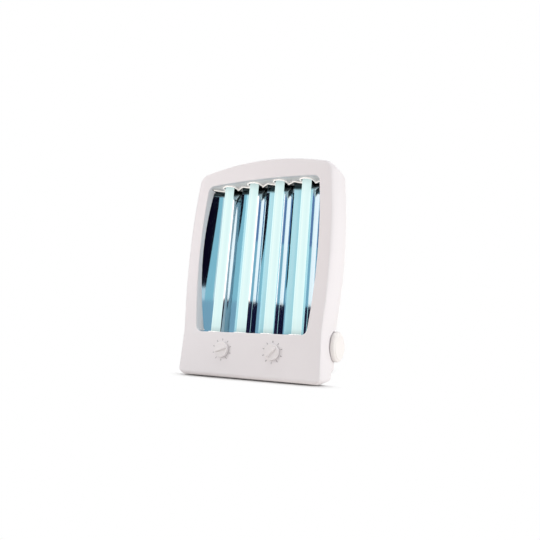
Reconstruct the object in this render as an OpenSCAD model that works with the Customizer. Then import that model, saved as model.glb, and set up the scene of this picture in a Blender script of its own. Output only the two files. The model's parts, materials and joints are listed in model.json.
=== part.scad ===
// Table-top tanning lamp: a moulded housing that leans back on a folding rear stand.
// Sizes are in millimetres. x runs to the viewer's right, y to the back, z up.
// Housing pieces are drawn upright in u (across), v (up the face) and w (depth behind
// the face), and the leaning() module then tips them back onto their feet.

/* [Tubes] */
// Diameter of each ultraviolet tube
tube_d = 16; // [14:0.5:18]
// Length of a tube between the outer faces of its caps
tube_len = 288; // [260:1:330]
// Length of the metal cap at each end of a tube
cap_len = 10; // [8:0.5:12]
// Thickness of the tube glass
glass_t = 0.8; // [0.6:0.1:1.2]
// Distance between neighbouring tube axes
tube_pitch = 51.6; // [49:0.2:55]
// Distance of the tube axes in front of the trough bottoms
tube_rise = 16; // [15:0.25:17]
// Diameter of a contact pin
pin_d = 2.3; // [2:0.1:2.6]
// Distance between the two pins of a cap
pin_gap = 4.8; // [4.4:0.1:5.2]
// Length of a contact pin
pin_len = 7; // [5:0.5:8]

/* [Reflector] */
// Focal length of each parabolic trough
focal_len = 12.5; // [11.5:0.25:14]
// Room between the trough bottoms and the frame's rear edge
trough_room = 3; // [2:0.25:4]
// Thickness of the reflector sheet
sheet_t = 0.8; // [0.5:0.1:1]
// Clearance of the end wall's notch around a tube
notch_gap = 2.5; // [2:0.1:3]

/* [Housing] */
// Angle by which the housing leans back
lean = 10; // [8:0.5:12]
// Height of the control panel below the window
panel_h = 76; // [74:1:86]
// Height of the band above the window
top_band = 38; // [36:1:46]
// Width of the band beside the window
side_band = 27; // [25:0.5:32]
// Room between the outer tube axes and the side of the window
side_room = 36.5; // [34:0.5:39]
// Height of the widest place above the bottom of the window
belly_up = 152; // [130:1:175]
// Radius of the barrelled sides
side_arc_r = 1065; // [950:5:1400]
// Radius of the arched top
top_arc_r = 460; // [420:5:600]
// Radius of the window's arched top edge
window_arc_r = 1350; // [1100:10:1800]
// How far the foot of the housing is narrower on each side than the belly
base_tuck = 7; // [6:0.25:9]
// How far the panel draws in from the foot up to the window
base_flare = 2.4; // [1.5:0.1:3]
// Softness of the waist between panel and belly
waist_soft = 2; // [1:0.25:4]
// Radius of the upper corners
top_corner_r = 13; // [11:0.5:16]
// Radius of the lower corners
base_corner_r = 12; // [11:0.5:15]
// Radius of the window's corners
window_corner_r = 9; // [7:0.5:11]
// Thickness of the moulded walls
wall = 2.5; // [2.2:0.1:2.8]
// Depth of the front frame
frame_depth = 40; // [39:0.5:42]
// Depth of the rear cover behind the frame
cover_depth = 20; // [19:0.5:23]
// Height of the rear cover's lower edge up the face
cover_foot = 20; // [18:0.5:21]
// Step from the frame's side to the rear cover's side
cover_step = 0.6; // [0.4:0.1:1]
// Radius of the rear cover's edge
cover_round = 7; // [6:0.25:7.25]
// Width of the flange that the rear cover seats on
flange_w = 4; // [3.6:0.1:5]

/* [Front edge] */
// Width of the rolled front edge at the belly
edge_belly = 7; // [5:0.25:8]
// Width of the rolled front edge beside the panel
edge_panel = 3.5; // [2.5:0.25:5]
// Width of the rolled front edge along the top
edge_top = 5; // [4:0.25:7]
// Width of the rolled front edge along the bottom
edge_base = 9; // [7:0.25:10]
// Depth over which the side edge rolls
roll_side = 22; // [16:0.5:26]
// Depth over which the top edge rolls
roll_top = 14; // [10:0.5:18]
// Depth over which the bottom edge rolls
roll_base = 13; // [10:0.5:15]
// Radius of the window's front edge
lip_r = 1.6; // [1:0.1:2]

/* [Controls] */
// Distance between the two dials
dial_spacing = 94.6; // [90:0.2:98]
// Height of the dials up the face
dial_v = 46.7; // [45:0.1:49]
// Diameter of a dial knob
dial_d = 26; // [24:0.5:28]
// Thickness of a dial knob's disc
dial_t = 4.5; // [3.5:0.25:6]
// Length of the grip bar across a dial knob
bar_len = 21; // [18:0.5:23]
// Width of the grip bar
bar_w = 5; // [4:0.25:6]
// Height of the grip bar above the disc
bar_t = 3; // [2:0.25:4]
// Angle of the timer's grip bar
timer_angle = 19; // [0:1:45]
// Angle of the selector's grip bar
selector_angle = 46; // [20:1:70]
// Number of marks round a dial
mark_count = 10; // [8:1:12]
// Length of a dial mark
mark_len = 3.4; // [2.5:0.1:4]
// Width of a dial mark
mark_w = 1.3; // [0.8:0.1:1.6]
// Height of a raised dial mark
mark_t = 0.5; // [0.3:0.1:0.8]
// Diameter of a control shaft
shaft_d = 6; // [5:0.1:6.6]
// Width of the timer and selector bodies
control_w = 36; // [32:1:38]
// Depth of the timer and selector bodies
control_depth = 22; // [18:0.5:23]

/* [Electrics] */
// Width of a lampholder
holder_w = 17; // [15:0.5:18]
// Height of a lampholder
holder_h = 16; // [14:0.5:17]
// Thickness of the steel brackets
bracket_t = 1.5; // [1:0.1:1.8]
// Length of a choke
choke_len = 74; // [66:1:78]
// Height of a choke
choke_h = 26; // [22:1:28]
// Depth of a choke
choke_depth = 20; // [17:0.5:21]
// Diameter of a starter
starter_d = 20; // [18:0.25:20.5]
// Length of a starter
starter_len = 32; // [26:1:34]
// Thickness of a starter socket
socket_t = 7; // [5:0.5:8]
// Diameter of the mounting posts
post_d = 8; // [7:0.25:8.5]
// Width of the terminal block
terminal_w = 38; // [30:1:42]
// Height of the terminal block
terminal_h = 14; // [12:0.5:16]
// Depth of the terminal block
terminal_depth = 14; // [12:0.5:16]
// Diameter of the mains lead that the gland takes
lead_d = 7; // [6:0.1:7.6]
// Outer diameter of the gland's collar
gland_d = 16; // [15:0.5:18]

/* [Stand] */
// Width across the stand's arms
stand_w = 164; // [158:1:165]
// Thickness of an arm
arm_t = 12; // [10:0.5:13]
// Height of the stand's pivot up the face
pivot_v = 64; // [62:0.5:66]
// Radius of the arm's eye
eye_r = 11; // [10:0.25:12]
// Distance from the pivot to the foot bar along the arm
leg_len = 105; // [98:1:120]
// Set-off of the arm's bar from the pivot
leg_offset = 16.5; // [16:0.25:20]
// Diameter of the foot bar
bar_d = 13; // [12:0.25:14]
// Thickness of the rubber sleeves on the foot bar
sleeve_t = 1.5; // [1:0.1:2]
// Length of a rubber sleeve
sleeve_len = 30; // [22:1:36]
// Diameter of the clamp studs
stud_d = 6; // [5:0.1:6.6]
// Diameter of a clamp knob
clamp_d = 49; // [44:1:52]
// Thickness of a clamp knob
clamp_t = 8.5; // [7:0.25:10]
// How far a clamp knob tapers in on each side
clamp_taper = 3.5; // [2:0.25:4.5]
// Number of grip grooves round a clamp knob
groove_count = 48; // [32:2:60]

/* [Fasteners and feet] */
// Diameter of the cover screws
screw_d = 3; // [2.5:0.1:3.2]
// Diameter of a cover screw's head
head_d = 6.6; // [6:0.1:7]
// Height of a cover screw's head
head_t = 2.4; // [2:0.1:2.8]
// Length of a cover screw's shank
screw_len = 18; // [12:1:20]
// Thickness of the rubber feet under the frame
foot_t = 1.5; // [1:0.1:2]
// Length of a rubber foot
foot_len = 46; // [36:1:56]

/* [Vents] */
// Width of a vent slot
vent_w = 4; // [3:0.25:5]
// Height of a vent slot
vent_h = 46; // [36:1:56]
// Distance between vent slots
vent_pitch = 16; // [13:0.5:18]
// Distance of each row of vents from the end of the window
vent_in = 56; // [48:1:80]

/* [Hidden] */
$fn = 64;

// Clearances: running fits, snug seats, free room, moving room, and room between inner pieces
run_gap = 0.06;
seat_gap = 0.05;
free_gap = 0.3;
joint_gap = 1;
part_gap = 3;
// Every cut runs this far past the face it opens
past = 1;

// Heights and half widths of the face
tube_count = 4;
window_h = tube_len - 2 * cap_len;
win_bot = panel_h;
win_top = panel_h + window_h;
face_h = win_top + top_band;
belly_v = panel_h + belly_up;
outer_u = tube_pitch * (tube_count - 1) / 2;
win_hw = outer_u + side_room;
body_hw = win_hw + side_band;
base_hw = body_hw - base_tuck;
tube_us = [for (i = [0 : tube_count - 1]) (i - (tube_count - 1) / 2) * tube_pitch];
centre = [0, panel_h + window_h / 2];

// Depths behind the face: the light unit takes its place from the frame's rear edge
trough_depth = frame_depth - trough_room;
tube_depth = trough_depth - tube_rise;
holder_tail = 2;
holder_back = tube_depth + holder_w / 2 + holder_tail;
bracket_back = holder_back + bracket_t;
cover_back = frame_depth + cover_depth;
cover_in = cover_back - wall;
// The back panel lies a little sunk within the cover's rounded rim and laps onto it
panel_sunk = 0.5;
panel_lap = 1.5;
notch_r = tube_d / 2 + notch_gap;
end_wall_w = 6;
end_wall_t = 2.2;
sheet_over = 3;
sheet_side = 2;

// Stand geometry: the pivot's pocket lies just behind the reflector
arm_in = stand_w / 2 - arm_t;
arm_out = stand_w / 2;
pocket_in = arm_in - joint_gap;
pocket_out = arm_out + joint_gap;
pocket_front = trough_depth + sheet_t + free_gap + wall;
pivot_w = pocket_front + joint_gap + eye_r;
pocket_low = cover_foot + flange_w + cover_step + wall + free_gap;
pocket_high = pivot_v + eye_r + joint_gap;
boss_wall = 3.5;
boss_r = stud_d / 2 + boss_wall;
pad_h = 1.6;
seat_x = half_w(pivot_v) - cover_step + pad_h;
sleeve_r = bar_d / 2 + sleeve_t;

// Places of posts and screws, measured from the window's edges, the dials and the top
post_u = win_hw - 6;
post_rise = 11;
post_spread = 13;
screw_u = win_hw + 7;
screw_rise = 54;
screw_fall = 44;
low_screw_u = win_hw + 4;
low_screw_v = 48;
screw_drop = 9.5;
screw_spots = [
    [screw_u, win_bot + screw_rise], [-screw_u, win_bot + screw_rise],
    [screw_u, win_top - screw_fall], [-screw_u, win_top - screw_fall],
    [low_screw_u, low_screw_v], [-low_screw_u, low_screw_v],
    [0, face_h - screw_drop]
];
upper_spots = [for (s = [-1, 1]) [s * post_u, win_top + post_rise]];
lower_spots = [for (s = [-1, 1], t = [-1, 1]) [s * post_u, dial_v + t * post_spread]];
post_spots = concat(upper_spots, lower_spots);
head_room = 0.5;
well_wall = 1.5;
well_floor = frame_depth + wall;
well_r = head_d / 2 + head_room + well_wall;

// World placing: the housing's front foot line, pivot and foot bar
pivot_z = foot_t + pivot_v * cos(lean) - pivot_w * sin(lean);
pivot_y = pivot_v * sin(lean) + pivot_w * cos(lean);
leg_r = norm([leg_len, leg_offset]);
leg_turn = acos((sleeve_r - pivot_z) / leg_r) - atan2(leg_offset, leg_len);
foot_y = pivot_y + leg_len * sin(leg_turn) + leg_offset * cos(leg_turn);
dial_face = joint_gap / 2;
dial_top = dial_face + dial_t + bar_t;
bar_low = dial_v - (bar_len - bar_w) / 2 * sin(selector_angle) - bar_w / 2;
front_y = min(bar_low * sin(lean) - dial_top * cos(lean), edge_base * sin(lean));
back_y = foot_y + sleeve_r;
row_y = -(front_y + back_y) / 2;

white = [0.93, 0.92, 0.91];
steel = [0.72, 0.73, 0.75];
ivory = [0.9, 0.88, 0.82];
dark = [0.12, 0.12, 0.13];

// Outline of the face

function smooth_max(a, b, soft) = (a + b + sqrt((a - b) ^ 2 + soft ^ 2)) / 2;
function ease(t) = let (s = min(1, max(0, t))) s * s * (3 - 2 * s);

// Half width of the housing at height v: a barrelled belly over a flared foot
function half_w(v) = smooth_max(
    body_hw - (v - belly_v) ^ 2 / (2 * side_arc_r),
    base_hw - base_flare * v / panel_h,
    waist_soft
);
function top_line(u) = face_h - u ^ 2 / (2 * top_arc_r);
function window_side(v) = win_hw - (v - belly_v) ^ 2 / (2 * side_arc_r);
function window_line(u) = win_top - u ^ 2 / (2 * window_arc_r);

// Depth inside a corner that two edges make, rounded to radius r
function corner(d1, d2, r) = d1 < r && d2 < r ? r - norm([r - d1, r - d2]) : min(d1, d2);

body_inside = function (p)
    let (side = half_w(p.y) - abs(p.x))
    min(corner(side, top_line(p.x) - p.y, top_corner_r), corner(side, p.y, base_corner_r));
cover_inside = function (p)
    let (side = half_w(p.y) - abs(p.x))
    min(corner(side, top_line(p.x) - p.y, top_corner_r),
        corner(side, p.y - cover_foot, base_corner_r));
window_inside = function (p)
    let (side = window_side(p.y) - abs(p.x))
    min(corner(side, window_line(p.x) - p.y, window_corner_r),
        corner(side, p.y - win_bot, window_corner_r));

// Where a ray from the window's centre leaves an outline, by halving the interval
function ray_end(inside, dir, near, far, steps) =
    let (mid = (near + far) / 2)
    steps == 0 ? centre + mid * dir
    : inside(centre + mid * dir) > 0 ? ray_end(inside, dir, mid, far, steps - 1)
    : ray_end(inside, dir, near, mid, steps - 1);

// Ray directions: close together at the corners, wider along the edges
function span(a, b, count) = [for (i = [0 : count - 1]) a + (b - a) * i / count];
function bearing(u, v) = atan2(v - centre.y, u);
top_turn = [bearing(half_w(face_h), top_line(half_w(face_h))), bearing(window_side(win_top), win_top)];
low_turn = [bearing(base_hw, 0), bearing(window_side(win_bot), win_bot)];
turn_pad = 5;
right_turns = concat(
    span(-90, min(low_turn) - turn_pad, 4),
    span(min(low_turn) - turn_pad, max(low_turn) + turn_pad, 13),
    span(max(low_turn) + turn_pad, min(top_turn) - turn_pad, 14),
    span(min(top_turn) - turn_pad, max(top_turn) + turn_pad, 12),
    span(max(top_turn) + turn_pad, 90, 5)
);
turn_count = len(right_turns);
turns = concat(right_turns, [90], [for (i = [turn_count - 1 : -1 : 1]) 180 - right_turns[i]]);
reach = face_h;

function outline(inside) = [for (a = turns) ray_end(inside, [cos(a), sin(a)], 0, reach, 30)];
function inset_line(depth) = outline(function (p) cover_inside(p) - depth);

// Inward direction at each point of a closed outline
function inward(line) = [
    for (i = [0 : len(line) - 1])
    let (step = line[(i + 1) % len(line)] - line[(i + len(line) - 1) % len(line)])
    [-step.y, step.x] / norm(step)
];

body_line = outline(body_inside);
body_in = inward(body_line);
cover_line = outline(cover_inside);
cover_norm = inward(cover_line);
window_edge = outline(window_inside);
window_in = inward(window_edge);
all_points = [0 : len(turns) - 1];

// The underside stays level: the lowest strip of the face rises with depth
function level(v, w) = v + w * tan(lean) * max(0, 1 - v / cover_foot);
function placed(p, w) = [p.x, w, level(p.y, w)];

// Rolled front edge: its width and depth change round the outline
function edge_side(v) = edge_panel + (edge_belly - edge_panel) * ease((v - win_bot) / belly_up);
function blend(n, side, above, below) = n.x ^ 2 * side + n.y ^ 2 * (n.y < 0 ? above : below);
edge_w = [for (i = all_points) blend(body_in[i], edge_side(body_line[i].y), edge_top, edge_base)];
edge_h = [for (i = all_points) blend(body_in[i], roll_side, roll_top, roll_base)];

// One ring of the rolled edge at angle t, set in by shell for the inner surface
function rolled(t, shell) = [
    for (i = all_points)
    placed(body_line[i] + (shell + edge_w[i] * (1 - sin(t))) * body_in[i],
           shell + edge_h[i] * (1 - cos(t)))
];
function body_ring(inset, w) = [
    for (i = all_points) placed(body_line[i] + inset * body_in[i], w)
];
function cover_ring(inset, w) = [
    for (i = all_points) placed(cover_line[i] + inset * cover_norm[i], w)
];
// Side walls of the window end just in front of the reflector, end walls stay short,
// and the change comes where the outline has turned this far towards the end
end_turn = 0.6;
function window_ring(outset, w) = [
    for (i = all_points) placed(window_edge[i] - outset * window_in[i], w)
];
function window_back(outset) = [
    for (i = all_points)
    let (p = window_edge[i] - outset * window_in[i])
    placed(p, abs(window_in[i].y) > end_turn ? end_wall_w : trough_front(p.x) - free_gap)
];

// Front of the reflector at u: one parabolic trough behind each tube
function tube_offset(u) = abs(u) > outer_u ? abs(u) - outer_u
    : min([for (c = tube_us) abs(u - c)]);
function trough_front(u) = trough_depth - tube_offset(u) ^ 2 / (4 * focal_len);
function trough_slope(u) = tube_offset(u) / (2 * focal_len);
// Places across the troughs, out to half width hw, with one on every ridge and every axis
function trough_us(hw) = let (fine = 12, flank = 8, half = (tube_count - 1) * fine / 2) concat(
    [for (i = [flank : -1 : 1]) -outer_u - (hw - outer_u) * i / flank],
    [for (i = [-half : half]) tube_pitch * i / fine],
    [for (i = [1 : flank]) outer_u + (hw - outer_u) * i / flank]
);

// Solids from rings of points

// A closed band: each ring joins the next, and the last one the first
module band(rings) {
    size = len(rings[0]);
    count = len(rings);
    polyhedron(
        [for (r = rings) each r],
        [
            for (j = [0 : count - 1], i = [0 : size - 1])
            let (a = j * size + i, b = j * size + (i + 1) % size,
                 c = (j + 1) % count * size + (i + 1) % size, d = (j + 1) % count * size + i)
            each [[a, b, c], [a, c, d]]
        ]
    );
}

// Placing helpers

module leaning() {
    translate([0, row_y, foot_t])
        rotate([-lean, 0, 0])
            children();
}
// A cylinder along the depth, from w0 to w1, at [u, v]
module drill(spot, d, w0, w1) {
    translate([spot.x, w1, spot.y])
        rotate([90, 0, 0])
            cylinder(d = d, h = w1 - w0);
}
// A cylinder along the face, from v0 to v1
module upright(u, w, d, v0, v1) {
    translate([u, w, v0])
        cylinder(d = d, h = v1 - v0);
}
// A cylinder across the housing, from u0 to u1
module across(v, w, d, u0, u1) {
    translate([u0, w, v])
        rotate([0, 90, 0])
            cylinder(d = d, h = u1 - u0);
}
module block(u, w, v) {
    translate([u[0], w[0], v[0]])
        cube([u[1] - u[0], w[1] - w[0], v[1] - v[0]]);
}
// A plane shape in u and v, given depth from w0 to w1
module slab(w0, w1) {
    translate([0, w1, 0])
        rotate([90, 0, 0])
            linear_extrude(w1 - w0)
                children();
}
module both_sides() {
    children();
    mirror([1, 0, 0])
        children();
}
module stadium(length, width) {
    square([length - width, width], center = true);
    for (s = [-1, 1])
        translate([s * (length - width) / 2, 0])
            circle(d = width);
}

// Housing

module front_frame() {
    hole_d = shaft_d + 2 * run_gap;
    color(white)
        leaning()
            difference() {
                union() {
                    band(concat(
                        [for (t = [0 : 18 : 90]) rolled(t, 0)],
                        [body_ring(0, frame_depth)],
                        [cover_ring(flange_w, frame_depth)],
                        [cover_ring(flange_w, frame_depth - wall)],
                        [body_ring(wall, frame_depth - wall)],
                        [for (t = [90 : -30 : 0]) rolled(t, wall)],
                        [window_ring(wall, wall)],
                        [window_back(wall)],
                        [window_back(0)],
                        [window_ring(0, lip_r)],
                        [window_ring(lip_r * (1 - sin(45)), lip_r * (1 - cos(45)))],
                        [window_ring(lip_r, 0)]
                    ));
                    for (p = screw_spots)
                        drill(p, post_d, wall - past, frame_depth);
                    for (p = post_spots)
                        drill(p, post_d, wall - past, holder_back);
                }
                for (p = screw_spots)
                    drill(p, screw_d + 2 * seat_gap, well_floor - screw_len - joint_gap, frame_depth + past);
                for (p = post_spots)
                    drill(p, screw_d + 2 * seat_gap, holder_back - screw_len / 2, holder_back + past);
                for (s = [-1, 1])
                    drill([s * dial_spacing / 2, dial_v], hole_d, -past, wall + past);
            }
}

module vent_row(v) {
    count = floor((outer_u + notch_r - vent_w) / vent_pitch);
    slab(cover_in - past, cover_back + past)
        for (i = [-count : count])
            translate([i * vent_pitch, v])
                rotate(90)
                    stadium(vent_h, vent_w);
}

module rear_cover() {
    inner_r = cover_round - wall;
    turn = frame_depth + cover_depth - cover_round;
    panel_in = cover_step + cover_round + panel_lap;
    lip = inset_line(panel_in + panel_lap);
    edge = inset_line(panel_in);
    panel = [for (i = all_points) (edge[i] + edge[(i + 1) % len(edge)]) / 2];
    color(white)
        leaning()
            difference() {
                union() {
                    band(concat(
                        [[for (p = lip) placed(p, cover_in)]],
                        [
                            for (t = [90 : -30 : 0])
                            cover_ring(cover_step + wall + inner_r * (1 - cos(t)), turn + inner_r * sin(t))
                        ],
                        [cover_ring(cover_step + wall, frame_depth)],
                        [cover_ring(cover_step, frame_depth)],
                        [
                            for (t = [0 : 18 : 90])
                            cover_ring(cover_step + cover_round * (1 - cos(t)), turn + cover_round * sin(t))
                        ],
                        [[for (p = lip) placed(p, cover_back)]]
                    ));
                    slab(cover_in - panel_sunk, cover_back - panel_sunk)
                        polygon(panel);
                    both_sides() {
                        block([pocket_in - wall, pocket_out + wall],
                              [pocket_front - wall, cover_in + wall / 2],
                              [pocket_low - wall, pocket_high + wall]);
                        across(pivot_v, pivot_w, 2 * boss_r, pocket_out + wall / 2, seat_x);
                    }
                    for (p = screw_spots)
                        drill(p, 2 * well_r, frame_depth, cover_in + wall / 2);
                }
                both_sides() {
                    block([pocket_in, pocket_out], [pocket_front, cover_back + past],
                          [pocket_low, pocket_high]);
                    across(pivot_v, pivot_w, stud_d + 2 * run_gap, pocket_out - past, seat_x + past);
                }
                for (p = screw_spots) {
                    drill(p, screw_d + 4 * seat_gap, frame_depth - past, well_floor + past);
                    drill(p, head_d + 2 * head_room, well_floor, cover_back + past);
                }
                vent_row(win_top - vent_in);
                vent_row(win_bot + vent_in);
                drill(gland_spot, gland_d - wall, cover_in - past, cover_back + past);
            }
}

// Light unit

module reflector() {
    us = trough_us(win_hw + sheet_side);
    front = [for (u = us) [u, trough_front(u)]];
    back = [
        for (i = [len(us) - 1 : -1 : 0])
        [us[i], trough_front(us[i]) + sheet_t * sqrt(1 + trough_slope(us[i]) ^ 2)]
    ];
    color(steel)
        leaning()
            translate([0, 0, win_bot - sheet_over])
                linear_extrude(window_h + 2 * sheet_over)
                    polygon(concat(front, back));
}

module tube(i) {
    u = tube_us[i];
    color([0.8, 0.95, 1])
        leaning()
            difference() {
                upright(u, tube_depth, tube_d, win_bot, win_top);
                upright(u, tube_depth, tube_d - 2 * glass_t, win_bot - past, win_top + past);
            }
}
module uv_tube_1() { tube(0); }
module uv_tube_2() { tube(1); }
module uv_tube_3() { tube(2); }
module uv_tube_4() { tube(3); }

module tube_caps() {
    cap_step = 0.2;
    color(steel)
        leaning()
            for (u = tube_us, v = [win_bot - cap_len, win_top])
                upright(u, tube_depth, tube_d - 2 * cap_step, v, v + cap_len);
}

module tube_pins() {
    color([0.8, 0.65, 0.3])
        leaning()
            for (u = tube_us, s = [-1, 1], v = [win_bot - cap_len - pin_len, win_top + cap_len])
                upright(u + s * pin_gap / 2, tube_depth, pin_d, v, v + pin_len);
}

// White wall across the end of the tubes: notched round each tube, cut to the reflector behind
module end_comb() {
    hw = window_side(win_top) + wall;
    us = trough_us(hw);
    edge = [for (i = [len(us) - 1 : -1 : 0]) [us[i], trough_front(us[i]) - free_gap]];
    difference() {
        polygon(concat([[-hw, end_wall_w + seat_gap], [hw, end_wall_w + seat_gap]], edge));
        for (u = tube_us) {
            translate([u, tube_depth])
                circle(r = notch_r);
            translate([u - notch_r, tube_depth])
                square([2 * notch_r, trough_depth]);
        }
    }
}
module upper_end_wall() {
    hw = win_hw;
    steps = 12;
    lower = [for (i = [-steps : steps]) let (u = hw * i / steps) [u, window_line(u)]];
    upper = [for (i = [steps : -1 : -steps]) let (u = hw * i / steps) [u, window_line(u) + end_wall_t]];
    color(white)
        leaning()
            intersection() {
                translate([0, 0, win_bot])
                    linear_extrude(face_h)
                        end_comb();
                slab(0, frame_depth)
                    polygon(concat(lower, upper));
            }
}
module lower_end_wall() {
    color(white)
        leaning()
            translate([0, 0, win_bot - end_wall_t])
                linear_extrude(end_wall_t)
                    end_comb();
}

// A lampholder stands against its bracket and takes the two pins of a cap
module lampholder(u, v, pins_v) {
    difference() {
        translate([u, tube_depth, v])
            linear_extrude(holder_h) {
                circle(d = holder_w);
                translate([-holder_w / 2, 0])
                    square([holder_w, holder_back - tube_depth]);
            }
        for (s = [-1, 1])
            upright(u + s * pin_gap / 2, tube_depth, pin_d + 2 * seat_gap, pins_v, pins_v + pin_len + past);
    }
}
module upper_lampholders() {
    v = win_top + cap_len;
    color(ivory)
        leaning()
            for (u = tube_us)
                lampholder(u, v, v - past + seat_gap);
}
module lower_lampholders() {
    v = win_bot - cap_len - holder_h;
    color(ivory)
        leaning()
            for (u = tube_us)
                lampholder(u, v, win_bot - cap_len - pin_len - seat_gap);
}

// A flat steel strip on the frame's posts, drilled for its screws
module strip(v0, v1, spots) {
    hw = post_u + post_d / 2 + joint_gap;
    slab(holder_back, bracket_back)
        difference() {
            translate([-hw, v0])
                square([2 * hw, v1 - v0]);
            for (p = spots)
                translate(p)
                    circle(d = screw_d + 4 * seat_gap);
        }
}
strip_h = 13;
module upper_bracket() {
    color(steel)
        leaning()
            strip(win_top + sheet_over + joint_gap, win_top + sheet_over + joint_gap + strip_h, upper_spots);
}
module lower_bracket() {
    shafts = [for (s = [-1, 1]) [s * dial_spacing / 2, dial_v]];
    color(steel)
        leaning()
            difference() {
                strip(cover_foot + flange_w + part_gap, win_bot - sheet_over - part_gap, lower_spots);
                for (p = shafts)
                    drill(p, shaft_d + 2 * joint_gap, holder_back - past, bracket_back + past);
            }
}
module bracket_screws() {
    color(steel)
        leaning()
            for (p = post_spots) {
                drill(p, screw_d, bracket_back - screw_len / 2, bracket_back);
                drill(p, head_d, bracket_back, bracket_back + free_gap + head_t / 2);
            }
}

// Chokes lie along the foot of the frame, in front of the lower bracket
choke_u = post_u - post_d / 2 - part_gap - choke_len / 2;
choke_v = dial_v - shaft_d / 2 - part_gap - choke_h / 2;
choke_w = holder_back - choke_depth / 2;
coil_over = 4;
module choke_cores() {
    slot_w = choke_depth / 2;
    color([0.35, 0.36, 0.38])
        leaning()
            both_sides()
                difference() {
                    translate([choke_u, choke_w, choke_v])
                        cube([choke_len - 2 * coil_over, choke_depth, choke_h], center = true);
                    translate([choke_u, choke_w, choke_v])
                        cube([choke_len, slot_w, choke_h / 2], center = true);
                }
}
module choke_windings() {
    slot_w = choke_depth / 2 - 2 * seat_gap;
    color([0.75, 0.4, 0.2])
        leaning()
            both_sides()
                translate([choke_u, choke_w, choke_v])
                    cube([choke_len, slot_w, choke_h / 2 - 2 * seat_gap], center = true);
}

// Starters lie in a row behind the upper bracket, each plugged into its socket
starter_end = outer_u + (starter_len + socket_t) / 2;
starter_v = top_line(starter_end) - cover_step - wall - joint_gap - starter_d / 2;
starter_w = bracket_back + free_gap + starter_d / 2;
starter_neck = starter_d / 3;
neck_len = 3;
module starters() {
    color([0.85, 0.85, 0.83])
        leaning()
            for (u = tube_us) {
                u0 = u - (starter_len + socket_t) / 2;
                across(starter_v, starter_w, starter_d, u0, u0 + starter_len);
                across(starter_v, starter_w, starter_neck, u0 + starter_len - past,
                       u0 + starter_len + neck_len);
            }
}
module starter_sockets() {
    color(ivory)
        leaning()
            for (u = tube_us) {
                u0 = u - (starter_len + socket_t) / 2 + starter_len + seat_gap;
                difference() {
                    block([u0, u0 + socket_t], [bracket_back, starter_w + starter_d / 2],
                          [starter_v - starter_d / 2, starter_v + starter_d / 4]);
                    across(starter_v, starter_w, starter_neck + 2 * seat_gap, u0 - past,
                           u0 + neck_len + seat_gap);
                }
            }
}

terminal_ways = 6;
module terminal_block() {
    way = terminal_w / terminal_ways;
    v = dial_v - control_w / 4;
    color(ivory)
        leaning()
            difference() {
                block([-terminal_w / 2, terminal_w / 2], [bracket_back, bracket_back + terminal_depth],
                      [v - terminal_h / 2, v + terminal_h / 2]);
                for (i = [0 : terminal_ways - 1])
                    drill([(i + 0.5) * way - terminal_w / 2, v], way / 2,
                          bracket_back + terminal_depth / 2, bracket_back + terminal_depth + past);
            }
}

gland_spot = [0, pivot_v];
module cord_gland() {
    collar = 2.5;
    sleeve = 6;
    body_d = gland_d - wall - 2 * seat_gap;
    color(white)
        leaning()
            difference() {
                union() {
                    drill(gland_spot, body_d, cover_in - sleeve / 2, cover_back + sleeve);
                    drill(gland_spot, gland_d, cover_back, cover_back + collar);
                }
                drill(gland_spot, lead_d, cover_in - sleeve, cover_back + sleeve + past);
            }
}

// Controls: each shaft runs through the panel and the bracket into the body behind,
// and the body stands clear of the stand's pocket
shaft_end = bracket_back + control_depth / 2;
shaft_in = dial_t - 1;
control_room = 1.2;
control_out = pocket_in - wall - control_room;
module control_body() {
    drum = 0.8;
    difference() {
        union() {
            block([control_out - control_w, control_out], [bracket_back, bracket_back + control_depth * drum],
                  [dial_v - control_w / 2, dial_v + control_w / 2]);
            drill([control_out - control_w / 2, dial_v], control_w * drum,
                  bracket_back, bracket_back + control_depth);
        }
        drill([dial_spacing / 2, dial_v], shaft_d + 2 * run_gap,
              bracket_back - past, shaft_end + joint_gap / 2);
    }
}
module timer_movement() {
    color(dark)
        leaning()
            mirror([1, 0, 0])
                control_body();
}
module selector_switch() {
    color(dark)
        leaning()
            control_body();
}
module control_shaft(u) {
    drill([u, dial_v], shaft_d, -dial_face - shaft_in, shaft_end);
}
module control_knob(u, angle) {
    edge_r = 1.5;
    r = dial_d / 2;
    turn = [for (t = [0 : 15 : 90]) [r - edge_r * (1 - cos(t)), dial_t - edge_r * (1 - sin(t))]];
    translate([u, -dial_face, dial_v])
        rotate([90, 0, 0])
            difference() {
                union() {
                    rotate_extrude()
                        polygon(concat([[0, 0], [r - edge_r / 3, 0]], turn, [[0, dial_t]]));
                    rotate(angle)
                        linear_extrude(dial_t + bar_t)
                            stadium(bar_len, bar_w);
                }
                translate([0, 0, -past])
                    cylinder(d = shaft_d + 2 * seat_gap, h = past + shaft_in + seat_gap);
            }
}
module timer_knob() {
    color(white)
        leaning()
            control_knob(-dial_spacing / 2, timer_angle);
}
module timer_shaft() {
    color(steel)
        leaning()
            control_shaft(-dial_spacing / 2);
}
module selector_knob() {
    color(white)
        leaning()
            control_knob(dial_spacing / 2, selector_angle);
}
module selector_shaft() {
    color(steel)
        leaning()
            control_shaft(dial_spacing / 2);
}

// Raised marks in a ring round each dial, one of them at the top
module dial_marks() {
    ring_r = dial_d / 2 + 2 * joint_gap + mark_len / 2;
    color([0.8, 0.8, 0.8])
        leaning()
            slab(-mark_t, 0)
                for (s = [-1, 1], i = [0 : mark_count - 1])
                    translate([s * dial_spacing / 2, dial_v])
                        rotate(i * 360 / mark_count)
                            translate([0, ring_r])
                                square([mark_w, mark_len], center = true);
}

// Screws of the rear cover and the rubber feet under the frame

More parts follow.
